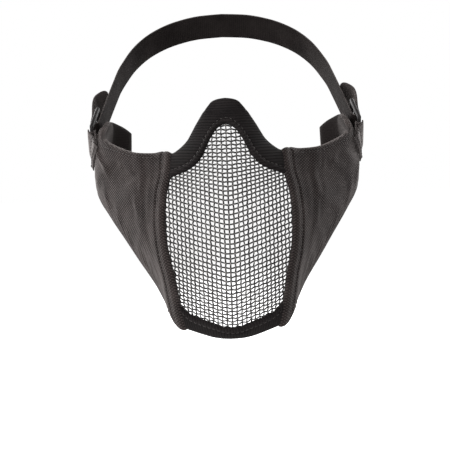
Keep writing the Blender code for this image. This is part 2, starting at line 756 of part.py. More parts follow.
def main():
    for old in list(bpy.data.objects):
        bpy.data.objects.remove(old, do_unlink=True)
    parts = bpy.data.collections.new("mesh face mask")
    cutters = bpy.data.collections.new("cutters")
    for group in (parts, cutters):
        bpy.context.scene.collection.children.link(group)
    cutters.hide_render = True
    band("nose_bridge", NOSE_BAND, 20, 4, RIBBED, parts)
    band("chin_strip", CHIN_BAND, 9, 3, RIBBED, parts)
    mesh_panel(WIRE, parts, cutters)
    head_strap(WEBBING, parts)
    for side in (1, -1):
        cheek_panel(side, RIPSTOP, parts)
        strap_tab(side, WEBBING, parts)
        strap_slider(side, PLASTIC, parts, cutters)


main()
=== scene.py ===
# %% [markdown]
# # A mesh face mask
#
# This lesson dresses the imported solids of a black lower-face mask: a formed panel of woven wire in front,
# ribbed fabric over the nose and under the chin, padded panels on the cheeks, and one webbing strap with
# its tabs and sliders. Everything is in metres, with Z up, and the mask faces -Y.
# The solids give every piece its place, so the first step loads them.

# %% Load the imported frame
import math
from functools import partial

import bmesh
import bpy
import numpy as np
from mathutils import Matrix, Vector


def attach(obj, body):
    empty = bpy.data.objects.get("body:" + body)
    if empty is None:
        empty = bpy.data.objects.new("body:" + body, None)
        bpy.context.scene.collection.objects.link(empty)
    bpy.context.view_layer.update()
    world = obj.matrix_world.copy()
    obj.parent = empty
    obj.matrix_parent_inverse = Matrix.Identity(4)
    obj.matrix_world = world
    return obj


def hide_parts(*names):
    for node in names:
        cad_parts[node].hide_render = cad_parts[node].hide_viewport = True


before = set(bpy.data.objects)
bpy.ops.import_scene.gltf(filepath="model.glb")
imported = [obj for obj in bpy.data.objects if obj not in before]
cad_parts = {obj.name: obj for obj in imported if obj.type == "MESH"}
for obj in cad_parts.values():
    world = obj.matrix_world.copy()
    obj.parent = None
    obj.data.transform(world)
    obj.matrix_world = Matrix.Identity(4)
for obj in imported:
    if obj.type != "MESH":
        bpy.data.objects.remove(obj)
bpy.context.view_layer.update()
print("solids:", ", ".join(sorted(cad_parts)))

# %% [markdown]
# ## The form under the fabric
#
# Wire and cloth both follow one smooth form: a ridge down the middle, flanks that fall back to the seams,
# and sides that wrap round to the rear edges. It could be sculpted, but then the wire and the cloth would
# have to be fitted to it by eye. Short tables of sections, each a share of a named size, keep them together.

# %% Named sizes
MASK_HEIGHT = 0.150
NOSE_RISE = 0.0083
MASK_WIDTH = 0.1746
RIDGE_REACH = 0.0385
WRAP_DEPTH = 0.096
HALF_WINDOW = 0.0390
MESH_THICKNESS = 0.0016
MESH_LAP = 0.0045
BINDING_THICKNESS = 0.0022
CHEEK_THICKNESS = 0.0065
HEM_WIDTH = 0.0052
LAP_GAP = 0.0008
FABRIC_GAP = 0.0003
HEM_LIFT = LAP_GAP + 0.0034
PANEL_LIFT = 0.45 * HEM_LIFT
HALF_WIDTH = MASK_WIDTH / 2 - PANEL_LIFT
SIDE_NAMES = {1: "right", -1: "left"}

# %% Tables of the front, the sides and the seam, a row per level
FRONT = np.array((
    # drop, ridge, edge, round
    (0.000, -0.035, 0.285, 0.34),
    (0.055, -0.020, 0.285, 0.34),
    (0.109, 0.13, 0.250, 0.32),
    (0.175, 0.34, 0.180, 0.28),
    (0.232, 0.51, 0.075, 0.25),
    (0.322, 0.745, -0.020, 0.22),
    (0.422, 0.915, -0.095, 0.20),
    (0.502, 0.98, -0.128, 0.20),
    (0.589, 1.00, -0.140, 0.20),
    (0.689, 0.96, -0.130, 0.20),
    (0.775, 0.845, -0.098, 0.22),
    (0.862, 0.62, -0.030, 0.26),
    (0.955, 0.30, 0.050, 0.30),
    (1.000, 0.10, 0.092, 0.32),
))
SIDES = np.array((
    # drop, cheek_out, cheek_back, side_out, side_back, turn_out, turn_back, rear_out, rear_back
    (0.082, 0.664, 0.229, 0.925, 0.594, 0.925, 0.833, 0.756, 0.969),
    (0.149, 0.676, 0.219, 0.965, 0.604, 0.938, 0.833, 0.762, 0.984),
    (0.232, 0.687, 0.198, 0.990, 0.625, 0.962, 0.854, 0.767, 1.000),
    (0.322, 0.699, 0.167, 1.000, 0.625, 0.974, 0.844, 0.779, 0.990),
    (0.422, 0.704, 0.130, 0.982, 0.615, 0.962, 0.833, 0.790, 0.974),
    (0.502, 0.693, 0.109, 0.928, 0.583, 0.928, 0.812, 0.790, 0.953),
    (0.589, 0.653, 0.094, 0.865, 0.552, 0.882, 0.792, 0.779, 0.938),
    (0.689, 0.590, 0.083, 0.785, 0.521, 0.813, 0.771, 0.756, 0.917),
    (0.775, 0.527, 0.073, 0.704, 0.500, 0.745, 0.750, 0.710, 0.896),
    (0.862, 0.481, 0.073, 0.630, 0.479, 0.676, 0.729, 0.664, 0.875),
    (0.955, 0.430, 0.094, 0.561, 0.469, 0.607, 0.708, 0.619, 0.854),
))
SEAM = np.array((
    # drop, out
    (0.232, 0.858),
    (0.322, 0.895),
    (0.375, 0.951),
    (0.435, 0.983),
    (0.502, 1.000),
    (0.582, 0.983),
    (0.655, 0.944),
    (0.709, 0.895),
    (0.769, 0.853),
    (0.815, 0.828),
    (0.862, 0.799),
    (0.909, 0.765),
    (0.957, 0.723),
))

# %% Tables of the two bands and of the cheek panels' edges
NOSE_BAND = np.array((
    # upper_out, upper_drop, lower_out, lower_drop
    (0.000, 0.000, 0.000, 0.108),
    (0.090, 0.003, 0.070, 0.114),
    (0.187, 0.012, 0.131, 0.125),
    (0.256, 0.032, 0.180, 0.139),
    (0.320, 0.056, 0.215, 0.152),
    (0.385, 0.085, 0.250, 0.167),
    (0.458, 0.116, 0.283, 0.184),
    (0.530, 0.150, 0.326, 0.208),
    (0.594, 0.178, 0.372, 0.232),
    (0.674, 0.201, 0.446, 0.258),
    (0.760, 0.219, 0.564, 0.285),
    (0.816, 0.228, 0.723, 0.305),
    (0.858, 0.232, 0.895, 0.322),
))
CHIN_BAND = np.array((
    # upper_out, upper_drop, lower_out, lower_drop
    (0.000, 0.955, 0.000, 1.000),
    (0.123, 0.951, 0.120, 0.999),
    (0.319, 0.932, 0.280, 0.993),
    (0.500, 0.915, 0.440, 0.981),
    (0.650, 0.897, 0.580, 0.969),
    (0.747, 0.877, 0.670, 0.961),
    (0.799, 0.862, 0.723, 0.957),
))
CHEEK_TOP = np.array((
    # back, drop
    (0.00, 0.232),
    (0.05, 0.224),
    (0.11, 0.222),
    (0.18, 0.217),
    (0.25, 0.203),
    (0.33, 0.182),
    (0.42, 0.158),
    (0.51, 0.129),
    (0.62, 0.102),
    (0.75, 0.088),
    (0.86, 0.089),
    (0.94, 0.108),
    (1.00, 0.140),
))
CHEEK_BOTTOM = np.array((
    # back, drop
    (0.00, 0.957),
    (0.05, 0.944),
    (0.09, 0.915),
    (0.14, 0.882),
    (0.21, 0.832),
    (0.28, 0.769),
    (0.33, 0.709),
    (0.38, 0.635),
    (0.44, 0.562),
    (0.51, 0.489),
    (0.60, 0.429),
    (0.72, 0.389),
    (0.86, 0.365),
    (1.00, 0.349),
))


# %% A smooth curve through a table's points
def smooth(knots, values, where, first=None):
    """Reads a curve that never overshoots its points. Knots and values may have a column for each place."""
    knots, values = (np.asarray(a, float).reshape(len(a), -1) for a in (knots, values))
    where = np.asarray(where, float)
    places = np.clip(where.ravel(), knots[0], knots[-1])
    step = np.diff(knots, axis=0)
    chord = np.diff(values, axis=0) / step
    slope = np.zeros(np.broadcast_shapes(knots.shape, values.shape))
    for i in range(1, len(knots) - 1):
        before, after = 2 * step[i] + step[i - 1], step[i] + 2 * step[i - 1]
        steady = chord[i - 1] * chord[i] > 0
        safe = [np.where(steady, chord[k], 1.0) for k in (i - 1, i)]
        slope[i] = np.where(steady, (before + after) / (before / safe[0] + after / safe[1]), 0.0)
    slope[0] = (3 * chord[0] - slope[1]) / 2 if first is None else first
    slope[-1] = (3 * chord[-1] - slope[-2]) / 2
    found = np.zeros(places.shape)
    for i in range(len(knots) - 1):
        t = (places - knots[i]) / step[i]
        value = (1 + 2 * t) * (1 - t) ** 2 * values[i] + t * (1 - t) ** 2 * step[i] * slope[i]
        value += t * t * (3 - 2 * t) * values[i + 1] + t * t * (t - 1) * step[i] * slope[i + 1]
        found = np.where(places >= knots[i], value, found)
    return found.reshape(where.shape)


def column(table, number, drop):
    return smooth(table[:, 0], table[:, number], drop)


def ease(t):
    """Rises smoothly from 0 to 1 while t does."""
    t = np.clip(t, 0, 1)
    return t * t * (3 - 2 * t)


def bump(distance, width):
    """1 at no distance, falling off like a bell over the width."""
    return np.exp(-((distance / width) ** 2))


def unit(vectors):
    """The same directions, each of length 1."""
    return vectors / np.linalg.norm(vectors, axis=-1, keepdims=True)


def surface_normals(grid):
    """Unit normals of a grid of points."""
    return unit(np.cross(np.gradient(grid, axis=0), np.gradient(grid, axis=1)))


def arc_length(points, axis=0):
    """Distance along each line of points, from its first one."""
    steps = np.linalg.norm(np.diff(points, axis=axis), axis=-1)
    return np.insert(np.cumsum(steps, axis=axis), 0, 0, axis=axis)


def read_line(reach, points, places):
    """Points at places along a line, between its own ones; reach is how far along each of those lies."""
    return np.stack([np.interp(places, reach, values) for values in points.T], axis=-1)


# %% Places on the form
def level(drop):
    """Height of a level, given as the share of the mask's height that it lies below the top."""
    return NOSE_RISE - drop * MASK_HEIGHT


def drop_of(z):
    return (NOSE_RISE - z) / MASK_HEIGHT


def front_depth(x, drop):
    """Y of the form in front, between the seams."""
    ridge = -RIDGE_REACH * column(FRONT, 1, drop)
    edge = WRAP_DEPTH * column(FRONT, 2, drop)
    soft = column(FRONT, 3, drop)
    t = np.abs(x) / HALF_WINDOW
    wedge = (np.hypot(t, soft) - soft) / (np.hypot(1, soft) - soft)
    return ridge + (edge - ridge) * (0.70 * wedge + 0.30 * t * t)


def front_slope(x, drop, near=0.0005):
    """How fast that form falls back from the ridge, per metre of x."""
    return (front_depth(x + near, drop) - front_depth(x - near, drop)) / (2 * near)


def seam_out(drop):
    return HALF_WINDOW * column(SEAM, 1, drop)


def side_points(back, drop):
    """Points of the form on the right, between the seam (back 0) and the rear edge (back 1)."""
    back, drop = np.broadcast_arrays(np.asarray(back, float), np.asarray(drop, float))
    shape, back, drop = back.shape, back.ravel(), drop.ravel()
    seam = seam_out(drop)
    start = front_depth(seam, drop)
    rise = (start - front_depth(seam - 0.001, drop)) / 0.001
    outs = np.stack([seam] + [HALF_WIDTH * column(SIDES, k, drop) for k in (1, 3, 5, 7)])
    backs = np.stack([start] + [WRAP_DEPTH * column(SIDES, k, drop) for k in (2, 4, 6, 8)])
    y = start + back * (backs[-1] - start)
    limit = 2.6 * (outs[1] - outs[0]) / (backs[1] - backs[0])
    x = smooth(backs, outs, y, np.minimum(1 / rise, limit))
    return np.stack([x, y, level(drop)], axis=-1).reshape(*shape, 3)


def grid_normals(grid):
    """Unit normals of a grid of points, pointing out of the form."""
    normal = surface_normals(grid)
    away = grid - np.array((0.0, WRAP_DEPTH / 2, 0.0))
    away[..., 2] = 0
    return normal * np.sign((normal * away).sum(axis=2, keepdims=True))


# %% [markdown]
# ## Finishes
#
# Every cloth on the mask is woven, so one group of nodes serves them all: two sets of threads that pass over
# and under each other, worked out from the cloth's own UV map in metres. Its two pitches turn the same weave
# into dense fabric, ribs or webbing. A second group gives the colour: darker between the threads, which is
# painted shade, lighter where the warp lies on top, which is painted sheen, mottled by wear and lint, and
# lighter where an edge is rubbed. An image could show this too, but it blurs close up.

# %% Helpers for nodes
def add_node(tree, kind, **settings):
    made = tree.nodes.new("ShaderNode" + kind)
    for name, value in settings.items():
        setattr(made, name, value)
    return made


def plug(tree, socket, value):
    """Fills an input with a link from another node, or with a plain value."""
    if isinstance(value, bpy.types.NodeSocket):
        tree.links.new(value, socket)
    else:
        socket.default_value = value


def feed(tree, made, **values):
    for name, value in values.items():
        plug(tree, made.inputs[name.replace("_", " ")], value)
    return made


def calc(tree, operation, *values, clamp=False):
    made = add_node(tree, "Math", operation=operation, use_clamp=clamp)
    for socket, value in zip(made.inputs, values):
        plug(tree, socket, value)
    return made.outputs[0]


def maths(tree):
    """Add, subtract, multiply, and multiply then add: functions that each put one node in the tree."""
    return [partial(calc, tree, kind) for kind in ("ADD", "SUBTRACT", "MULTIPLY", "MULTIPLY_ADD")]


def blend(tree, share, first, second):
    made = add_node(tree, "Mix", data_type="RGBA")
    for index, value in ((0, share), (6, first), (7, second)):
        plug(tree, made.inputs[index], value)
    return made.outputs[2]


def noise(tree, place, scale, detail):
    return feed(tree, add_node(tree, "TexNoise"), Vector=place, Scale=scale, Detail=detail).outputs["Fac"]


def new_group(name, inputs, outputs):
    """An empty shader group with named sockets: its tree, its inputs inside and its output node."""
    tree = bpy.data.node_groups.new(name, "ShaderNodeTree")
    for direction, sockets in (("INPUT", inputs), ("OUTPUT", outputs)):
        for label, kind in sockets:
            tree.interface.new_socket(label, in_out=direction, socket_type="NodeSocket" + kind)
    return tree, tree.nodes.new("NodeGroupInput").outputs, tree.nodes.new("NodeGroupOutput")


def use_group(tree, group, **values):
    made = add_node(tree, "Group")
    made.node_tree = group
    return feed(tree, made, **values).outputs


# %% The weave: threads across and along, with an optional rib
WEAVE, given, result = new_group(
    "woven threads",
    (("Place", "Vector"), ("Pitch Across", "Float"), ("Pitch Along", "Float"), ("Ribbing", "Float")),
    (("Height", "Float"), ("Over", "Float")),
)
wander = feed(WEAVE, add_node(WEAVE, "TexNoise"), Vector=given["Place"], Scale=240.0, Detail=2.0)
shifted = add_node(WEAVE, "VectorMath", operation="MULTIPLY_ADD")
for socket, value in zip(shifted.inputs, (wander.outputs["Color"], (0.0005, 0.0005, 0.0), given["Place"])):
    plug(WEAVE, socket, value)
split = feed(WEAVE, add_node(WEAVE, "SeparateXYZ"), Vector=shifted.outputs[0])
add, subtract, multiply, scale = maths(WEAVE)
waves = [
    calc(WEAVE, "SINE", multiply(calc(WEAVE, "DIVIDE", split.outputs[axis], given[pitch]), math.pi))
    for axis, pitch in (("X", "Pitch Across"), ("Y", "Pitch Along"))
]
crossing = multiply(multiply(*waves), 0.4)
bodies = [calc(WEAVE, "ABSOLUTE", wave) for wave in waves]
warp = add(multiply(bodies[0], 0.6), crossing)
weft = subtract(multiply(bodies[1], 0.6), crossing)
plain = calc(WEAVE, "MAXIMUM", warp, weft)
rib = multiply(subtract(bodies[1], plain), given["Ribbing"])
feed(WEAVE, result, Height=add(plain, rib), Over=scale(crossing, 1.25, 0.5))

# %% The cloth's colour and roughness
CLOTH, given, result = new_group(
    "cloth colour",
    [("Place", "Vector")] + [(label, "Float") for label in ("Height", "Check", "Rub")]
    + [("Dark", "Color"), ("Light", "Color")],
    (("Color", "Color"), ("Roughness", "Float")),
)
add, subtract, multiply, scale = maths(CLOTH)
patches = scale(noise(CLOTH, given["Place"], 60.0, 4.0), 0.9, -0.45)
lint = scale(noise(CLOTH, given["Place"], 1300.0, 1.0), 4.0, -2.7, clamp=True)
# The light colour's share rises with the thread height, so the gaps between threads are darker, a painted shade;
# Check lightens the cells where the warp lies on top, a painted sheen.
share = scale(given["Height"], 0.55, add(patches, given["Check"]))
share = scale(lint, 0.35, scale(given["Rub"], 0.18, share), clamp=True)
feed(CLOTH, result, Color=blend(CLOTH, share, given["Dark"], given["Light"]), Roughness=scale(share, -0.2, 0.95))

# %% Edge wear on moulded plastic and on coated wire, where the bare crowns are wear and in part a painted highlight
WEAR, given, result = new_group(
    "worn edges",
    [("Place", "Vector")] + [(label, "Float") for label in ("Rub", "Start", "Dull")]
    + [("Fresh", "Color"), ("Worn", "Color")],
    (("Color", "Color"), ("Worn", "Float"), ("Roughness", "Float")),
)
add, subtract, multiply, scale = maths(WEAR)
ragged = scale(noise(WEAR, given["Place"], 500.0, 3.0), 0.8, given["Rub"])
worn = multiply(subtract(ragged, given["Start"]), 2.5, clamp=True)
feed(WEAR, result, Color=blend(WEAR, worn, given["Fresh"], given["Worn"]), Worn=worn)
cloudy = scale(noise(WEAR, given["Place"], 160.0, 3.0), 0.25, given["Dull"])
feed(WEAR, result, Roughness=scale(worn, 0.1, cloudy))


# %% The materials
def new_material(name):
    """A material with its tree and its shader."""
    material = bpy.data.materials.new(name)
    material.use_nodes = True
    return material, material.node_tree, material.node_tree.nodes["Principled BSDF"]


def raise_surface(tree, shader, height, distance):
    raised = feed(tree, add_node(tree, "Bump"), Height=height, Distance=distance, Strength=1.0)
    tree.links.new(raised.outputs["Normal"], shader.inputs["Normal"])


def cloth_finish(name, across, along, relief, ribbing, check, dark, light, sheen, shine):
    material, tree, shader = new_material(name)
    across, along, relief = across / 1000, along / 1000, relief / 1000
    place = add_node(tree, "UVMap", uv_map="cloth").outputs["UV"]
    rub = add_node(tree, "Attribute", attribute_name="rub").outputs["Fac"]
    threads = use_group(tree, WEAVE, Place=place, Pitch_Across=across, Pitch_Along=along, Ribbing=ribbing)
    # checks: cells where the warp lies on top, raised in the bump and lighter in colour; the lighter colour is a
    # painted sheen.
    checks = calc(tree, "MULTIPLY", calc(tree, "SUBTRACT", threads["Over"], 0.5), check)
    colours = {"Dark": (*dark, 1), "Light": (*light, 1)}
    tone = use_group(tree, CLOTH, Place=place, Height=threads["Height"], Check=checks, Rub=rub, **colours)
    feed(tree, shader, Base_Color=tone["Color"], Roughness=tone["Roughness"], Specular_IOR_Level=shine)
    feed(tree, shader, Sheen_Weight=sheen, Sheen_Roughness=0.4, Sheen_Tint=(0.92, 0.82, 0.79, 1))
    raise_surface(tree, shader, calc(tree, "ADD", threads["Height"], checks), relief)
    return material


def hard_finish(name, fresh, bare, start, dull, grain, metallic, shine):
    material, tree, shader = new_material(name)
    place = add_node(tree, "TexCoord").outputs["Object"]
    rub = add_node(tree, "Attribute", attribute_name="rub").outputs["Fac"]
    colours = {"Fresh": (*fresh, 1), "Worn": (*bare, 1)}
    wear = use_group(tree, WEAR, Place=place, Rub=rub, Start=start, Dull=dull, **colours)
    feed(tree, shader, Base_Color=wear["Color"], Roughness=wear["Roughness"], Specular_IOR_Level=shine)
    if metallic:
        feed(tree, shader, Metallic=wear["Worn"])
    raise_surface(tree, shader, noise(tree, place, 2600.0, 2.0), grain)
    return material


CLOTHS = (
    # name, pitches across and along and relief in mm, ribbing, check, dark, light, sheen, shine
    ("dense fabric", 1.28, 0.88, 0.24, 0, 0.9, (0.0056, 0.0043, 0.0042), (0.0615, 0.0485, 0.0457), 0.2, 0.15),
    ("ribbed fabric", 0.7, 1.7, 0.22, 0.85, 0, (0.0022, 0.0017, 0.0017), (0.0175, 0.0135, 0.0135), 0.04, 0.2),
    ("webbing", 0.95, 1.4, 0.13, 0.2, 0.2, (0.018, 0.0148, 0.0144), (0.088, 0.075, 0.072), 0.22, 0.25),
    # The strap's inner face: the same webbing made far darker and duller, with little sheen, a painted shade for
    # the shadow that a head throws on it.
    ("webbing inside painted shade", 0.95, 1.4, 0.12, 0.2, 0.2, (0.006, 0.0049, 0.0047), (0.027, 0.0222, 0.0213), 0.03, 0.04),
    # The lining of the cheeks and bands: a dark brushed cloth, kept darker than its own black so the insides look
    # shaded: partly its own colour, partly painted shade.
    ("brushed lining partly painted shade", 1.3, 1.6, 0.02, 0, 0, (0.0115, 0.0094, 0.009), (0.019, 0.0156, 0.015), 0.1, 0.05),
)
HARD = (
    # name, fresh, bare, start of wear, dull, grain, metallic where worn, shine
    # On the wire, rub is how far a wire stands out, so the bare steel lies on the crowns; it starts early so the
    # crowns read as bright dashes: wear, and in part a painted highlight.
    ("coated wire", (0.013, 0.0115, 0.0115), (0.42, 0.40, 0.38), 1.02, 0.25, 0.00002, True, 0.5),
    ("moulded plastic", (0.020, 0.018, 0.018), (0.13, 0.12, 0.12), 1.3, 0.55, 0.00004, False, 0.35),
)
DENSE, RIBBED, WEBBING, STRAP_INSIDE_PAINTED_SHADE, LINING_PARTLY_PAINTED_SHADE = (cloth_finish(*row) for row in CLOTHS)
WIRE, PLASTIC = (hard_finish(*row) for row in HARD)

# %% The sewing thread
THREAD, tree, shader = new_material("sewing thread")
place = add_node(tree, "TexCoord").outputs["Object"]
fibres = noise(tree, place, 2200.0, 2.0)
colour = blend(tree, fibres, (0.008, 0.0066, 0.0064, 1), (0.062, 0.052, 0.049, 1))
feed(tree, shader, Base_Color=colour, Roughness=0.6)
print("materials:", ", ".join(material.name for material in bpy.data.materials))

# %% [markdown]
# ## Building a piece of cloth
#
# A sewn piece is a closed shell: an outer face, an inner face and a rolled rim between them. Solidify would
# give it one wall, but hems and padding change their thickness, so both faces are built as grids and the rim
# is laid round them in a few steps. Each point also keeps its place on the flat cloth, in metres, as a UV map:
# the weave then runs with the fabric. A second attribute says how much a point is rubbed in use.

# %% Shells from two grids
def add_object(name, data):
    made = bpy.data.objects.new(name, data)
    bpy.context.collection.objects.link(made)
    return made


def points_of(piece):
    return np.array([tuple(v.co) for v in piece.data.vertices])


def set_rub(mesh, values):
    """Stores how much each point is rubbed in use."""
    mesh.attributes.new("rub", "FLOAT", "POINT").data.foreach_set("value", values)


def shell(name, outer, inner, flat, rub, bulge=(0.0004, 0.0004, 0.0004, 0.0004), steps=3):
    """A closed mesh between two grids. bulge: how far the rim rolls out at the first and last row and column."""
    rows, columns = outer.shape[:2]
    points = [outer.reshape(-1, 3), inner.reshape(-1, 3)]
    cloth = [flat.reshape(-1, 2)] * 2
    worn = [rub.ravel(), np.zeros(rows * columns)]
    ring = [(i, 0) for i in range(rows)] + [(rows - 1, j) for j in range(1, columns)]
    ring += [(i, columns - 1) for i in range(rows - 2, -1, -1)] + [(0, j) for j in range(columns - 2, 0, -1)]
    for i, j in ring:
        inside = (min(max(i, 1), rows - 2), min(max(j, 1), columns - 2))
        out = outer[i, j] + inner[i, j] - outer[inside] - inner[inside]
        wall = outer[i, j] - inner[i, j]
        out -= wall * (out @ wall) / max(wall @ wall, 1e-12)
        out /= np.linalg.norm(out)
        reach = max(side for side, there in zip(bulge, (i == 0, i == rows - 1, j == 0, j == columns - 1)) if there)
        middle = (outer[i, j] + inner[i, j]) / 2
        for k in range(1, steps + 1):
            turn = math.pi * k / (steps + 1)
            points.append((middle + wall / 2 * math.cos(turn) + out * reach * math.sin(turn))[None])
            cloth.append((flat[i, j] + 0.0004 * k)[None])
            worn.append(np.array([rub[i, j]]))
    points, cloth, worn = np.concatenate(points), np.concatenate(cloth), np.concatenate(worn)
    half = rows * columns
    firsts = [i * columns + j for i in range(rows - 1) for j in range(columns - 1)]
    faces = [(a, a + 1, a + columns + 1, a + columns) for a in firsts]
    lining_start = len(faces)
    faces += [tuple(v + half for v in reversed(face)) for face in faces]
    rim_start = len(faces)
    chains = [
        [i * columns + j] + [2 * half + n * steps + k for k in range(steps)] + [half + i * columns + j]
        for n, (i, j) in enumerate(ring)
    ]
    for n, chain in enumerate(chains):
        after = chains[(n + 1) % len(chains)]
        faces += [(chain[k], chain[k + 1], after[k + 1], after[k]) for k in range(steps + 1)]
    mesh = bpy.data.meshes.new(name)
    mesh.from_pydata(points.tolist(), [], faces)
    layer = mesh.uv_layers.new(name="cloth")
    corners = np.empty(len(mesh.loops), int)
    mesh.loops.foreach_get("vertex_index", corners)
    layer.data.foreach_set("uv", cloth[corners].ravel())
    set_rub(mesh, worn)
    slots = np.zeros(len(faces), int)
    slots[lining_start:rim_start] = 1
    mesh.polygons.foreach_set("material_index", slots)
    work = bmesh.new()
    work.from_mesh(mesh)
    bmesh.ops.recalc_face_normals(work, faces=work.faces)
    work.to_mesh(mesh)
    work.free()
    mesh.shade_smooth()
    return add_object(name, mesh)


def choose(piece):
    """Makes one object the only selected and the active one, as a click on it would."""
    bpy.ops.object.select_all(action="DESELECT")
    piece.select_set(True)
    bpy.context.view_layer.objects.active = piece


def apply_modifiers(piece):
    choose(piece)
    for modifier in list(piece.modifiers):
        bpy.ops.object.modifier_apply(modifier=modifier.name)


def settle(piece, nodes, slot, *materials):
    """Gives a finished piece its materials and its body, and hides the solids that it stands for; slot is not
    used.
    """
    for material in materials:
        piece.data.materials.append(material)
    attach(piece, "root")
    if nodes:
        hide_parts(*nodes)
    print(piece.name, len(piece.data.polygons), "faces")


# %% [markdown]
# ## Stitches
#
# Thread shows as short raised dashes with a gap between them. One dash is modelled as a small stretched ball,
# and each stitch of a seam is a copy of it, turned along the seam and half sunk in the cloth. Copies are joined
# to one mesh for each seam, which keeps hundreds of stitches light.

# %% Rows of stitches
STITCH_LENGTH = 0.0022
THREAD_RADIUS = 0.00028


def dash():
    """Points and faces of one stitch, along X, with Z away from the cloth."""
    bpy.ops.object.select_all(action="DESELECT")
    bpy.ops.mesh.primitive_uv_sphere_add(segments=6, ring_count=5, radius=1.0, rotation=(0, math.pi / 2, 0))
    bpy.ops.object.transform_apply(rotation=True)
    ball = bpy.context.object
    points = points_of(ball)
    faces = [tuple(p.vertices) for p in ball.data.polygons]
    bpy.data.objects.remove(ball)
    return points * (STITCH_LENGTH / 2, THREAD_RADIUS, THREAD_RADIUS), faces


DASH_POINTS, DASH_FACES = dash()


def stitch_rows(name, lines, pitch=0.0032, lift=0.0001):
    """One mesh of stitches along lines; each line is its points and the cloth's normals there."""
    points, faces = [], []
    for line, normals in lines:
        arc = arc_length(line)
        for place in np.arange(pitch / 2, arc[-1] - pitch / 4, pitch):
            start, middle, end = read_line(arc, line, place + STITCH_LENGTH / 2 * np.array((-1, 0, 1)))
            up = read_line(arc, normals, place)
            along = unit(end - start)
            up = unit(up - along * (up @ along))
            turn = np.column_stack([along, np.cross(up, along), up])
            faces += [tuple(v + len(points) * len(DASH_POINTS) for v in face) for face in DASH_FACES]
            points.append(DASH_POINTS @ turn.T + middle + up * lift)
    mesh = bpy.data.meshes.new(name)
    mesh.from_pydata(np.concatenate(points).tolist(), [], faces)
    mesh.shade_smooth()
    print(name, len(points), "stitches")
    return add_object(name, mesh)


# %% [markdown]
# ## The woven wire panel
#
# The real panel is plain-woven steel wire, pressed over a former, so each wire runs over one neighbour and
# under the next while the whole cloth follows the ridge. A flat texture would lose the bright crowns and the
# see-through gaps. Each wire is drawn as a curve on the form, swung out and in at its crossings, and a round
# bevel gives it its body. The cross wires dip towards the ridge below the nose, because the pressing draws them.

# %% The window's outline and a test for what lies in it
def band_line(table, columns_used, steps):
    """An edge of a band as points (out, drop), evenly spread."""
    reach = arc_length(table[:, columns_used] * (HALF_WINDOW, MASK_HEIGHT))
    places = np.linspace(0, reach[-1], steps)
    return np.stack([smooth(reach, table[:, k], places) for k in columns_used], axis=1)


nose_edge = band_line(NOSE_BAND, [2, 3], 40)
chin_edge = band_line(CHIN_BAND, [0, 1], 24)[::-1]
seam_drops = np.linspace(nose_edge[-1, 1], chin_edge[0, 1], 40)[1:-1]
seam_edge = np.stack([seam_out(seam_drops) / HALF_WINDOW, seam_drops], axis=1)
half_outline = np.concatenate([nose_edge, seam_edge, chin_edge]) * (HALF_WINDOW, 1)
half_outline[:, 1] = level(half_outline[:, 1])


def within_window(x, z, margin):
    """True where a point of the panel lies in the window or at most margin behind the fabric round it."""
    x = np.abs(x)
    a, b = half_outline[:-1], half_outline[1:]
    p = np.stack([x, z], axis=-1)[..., None, :]
    along = b - a
    t = np.clip(((p - a) * along).sum(-1) / (along * along).sum(-1), 0, 1)
    near = np.linalg.norm(p - a - t[..., None] * along, axis=-1).min(-1)
    crosses = (a[:, 1] > z[..., None]) != (b[:, 1] > z[..., None])
    at = a[:, 0] + (z[..., None] - a[:, 1]) / np.where(along[:, 1] == 0, 1e-9, along[:, 1]) * along[:, 0]
    inside = ((at > x[..., None]) & crosses).sum(-1) % 2 == 1
    return inside | (near < margin)


# %% Places of the wires
COLUMN_PITCH = 0.00325
ROW_PITCH = 0.00305
WIRE_RADIUS = 0.00053
WIRE_LAP = 0.0034
STEPS = 4
DIP = 0.30
WIDEST_DROP = 0.52

fine_x = np.linspace(0, 0.050, 400)
outward = arc_length(np.stack([fine_x, front_depth(fine_x, WIDEST_DROP)], axis=1))
fine_drop = np.linspace(0.08, 1.0, 900)
down = arc_length(np.stack([level(fine_drop), front_depth(0.0, fine_drop)], axis=1))
ROWS, COLUMNS = int(down[-1] / ROW_PITCH), int(outward[-1] / COLUMN_PITCH)


def wire_point(c, r, swing):
    """A point of the cloth at column c and row r, both also between wires; swing is how far it stands out."""
    x = np.sign(c) * np.interp(np.abs(c) * COLUMN_PITCH, outward, fine_x)
    middle = np.interp(r * ROW_PITCH, down, fine_drop)
    dip = DIP * ease((middle - 0.16) / 0.30)
    z = level(middle) + dip * (np.hypot(x, 0.004) - 0.004)
    drop = drop_of(z)
    y = front_depth(x, drop)
    near = 0.0005
    slope_z = (front_depth(x, drop_of(z + near)) - front_depth(x, drop_of(z - near))) / (2 * near)
    normal = unit(np.stack([front_slope(x, drop), -np.ones_like(x), slope_z], axis=-1))
    return np.stack([x, y, z], axis=-1) + normal * (swing - MESH_THICKNESS / 2)[..., None]


# %% Draw the wires as curves and give them their round body
def wire_runs(c, r, swing):
    """The lengths of one wire that lie in the window or its lap."""
    points = wire_point(c, r, swing)
    keep = within_window(points[:, 0], points[:, 2], WIRE_LAP)
    runs, run = [], []
    for point, kept in zip(points, keep):
        if kept:
            run.append(point)
        elif run:
            runs.append(run)
            run = []
    return [one for one in runs + [run] if len(one) > STEPS]


wires = []
side_to_side = np.arange(-COLUMNS * STEPS, COLUMNS * STEPS + 1) / STEPS
top_to_bottom = np.arange(0, ROWS * STEPS + 1) / STEPS
for r in range(ROWS + 1):
    swing = WIRE_RADIUS * np.cos(math.pi * (side_to_side + r))
    wires += wire_runs(side_to_side, np.full(swing.shape, r), swing)
for c in range(-COLUMNS, COLUMNS + 1):
    swing = -WIRE_RADIUS * np.cos(math.pi * (top_to_bottom + c))
    wires += wire_runs(np.full(swing.shape, c), top_to_bottom, swing)

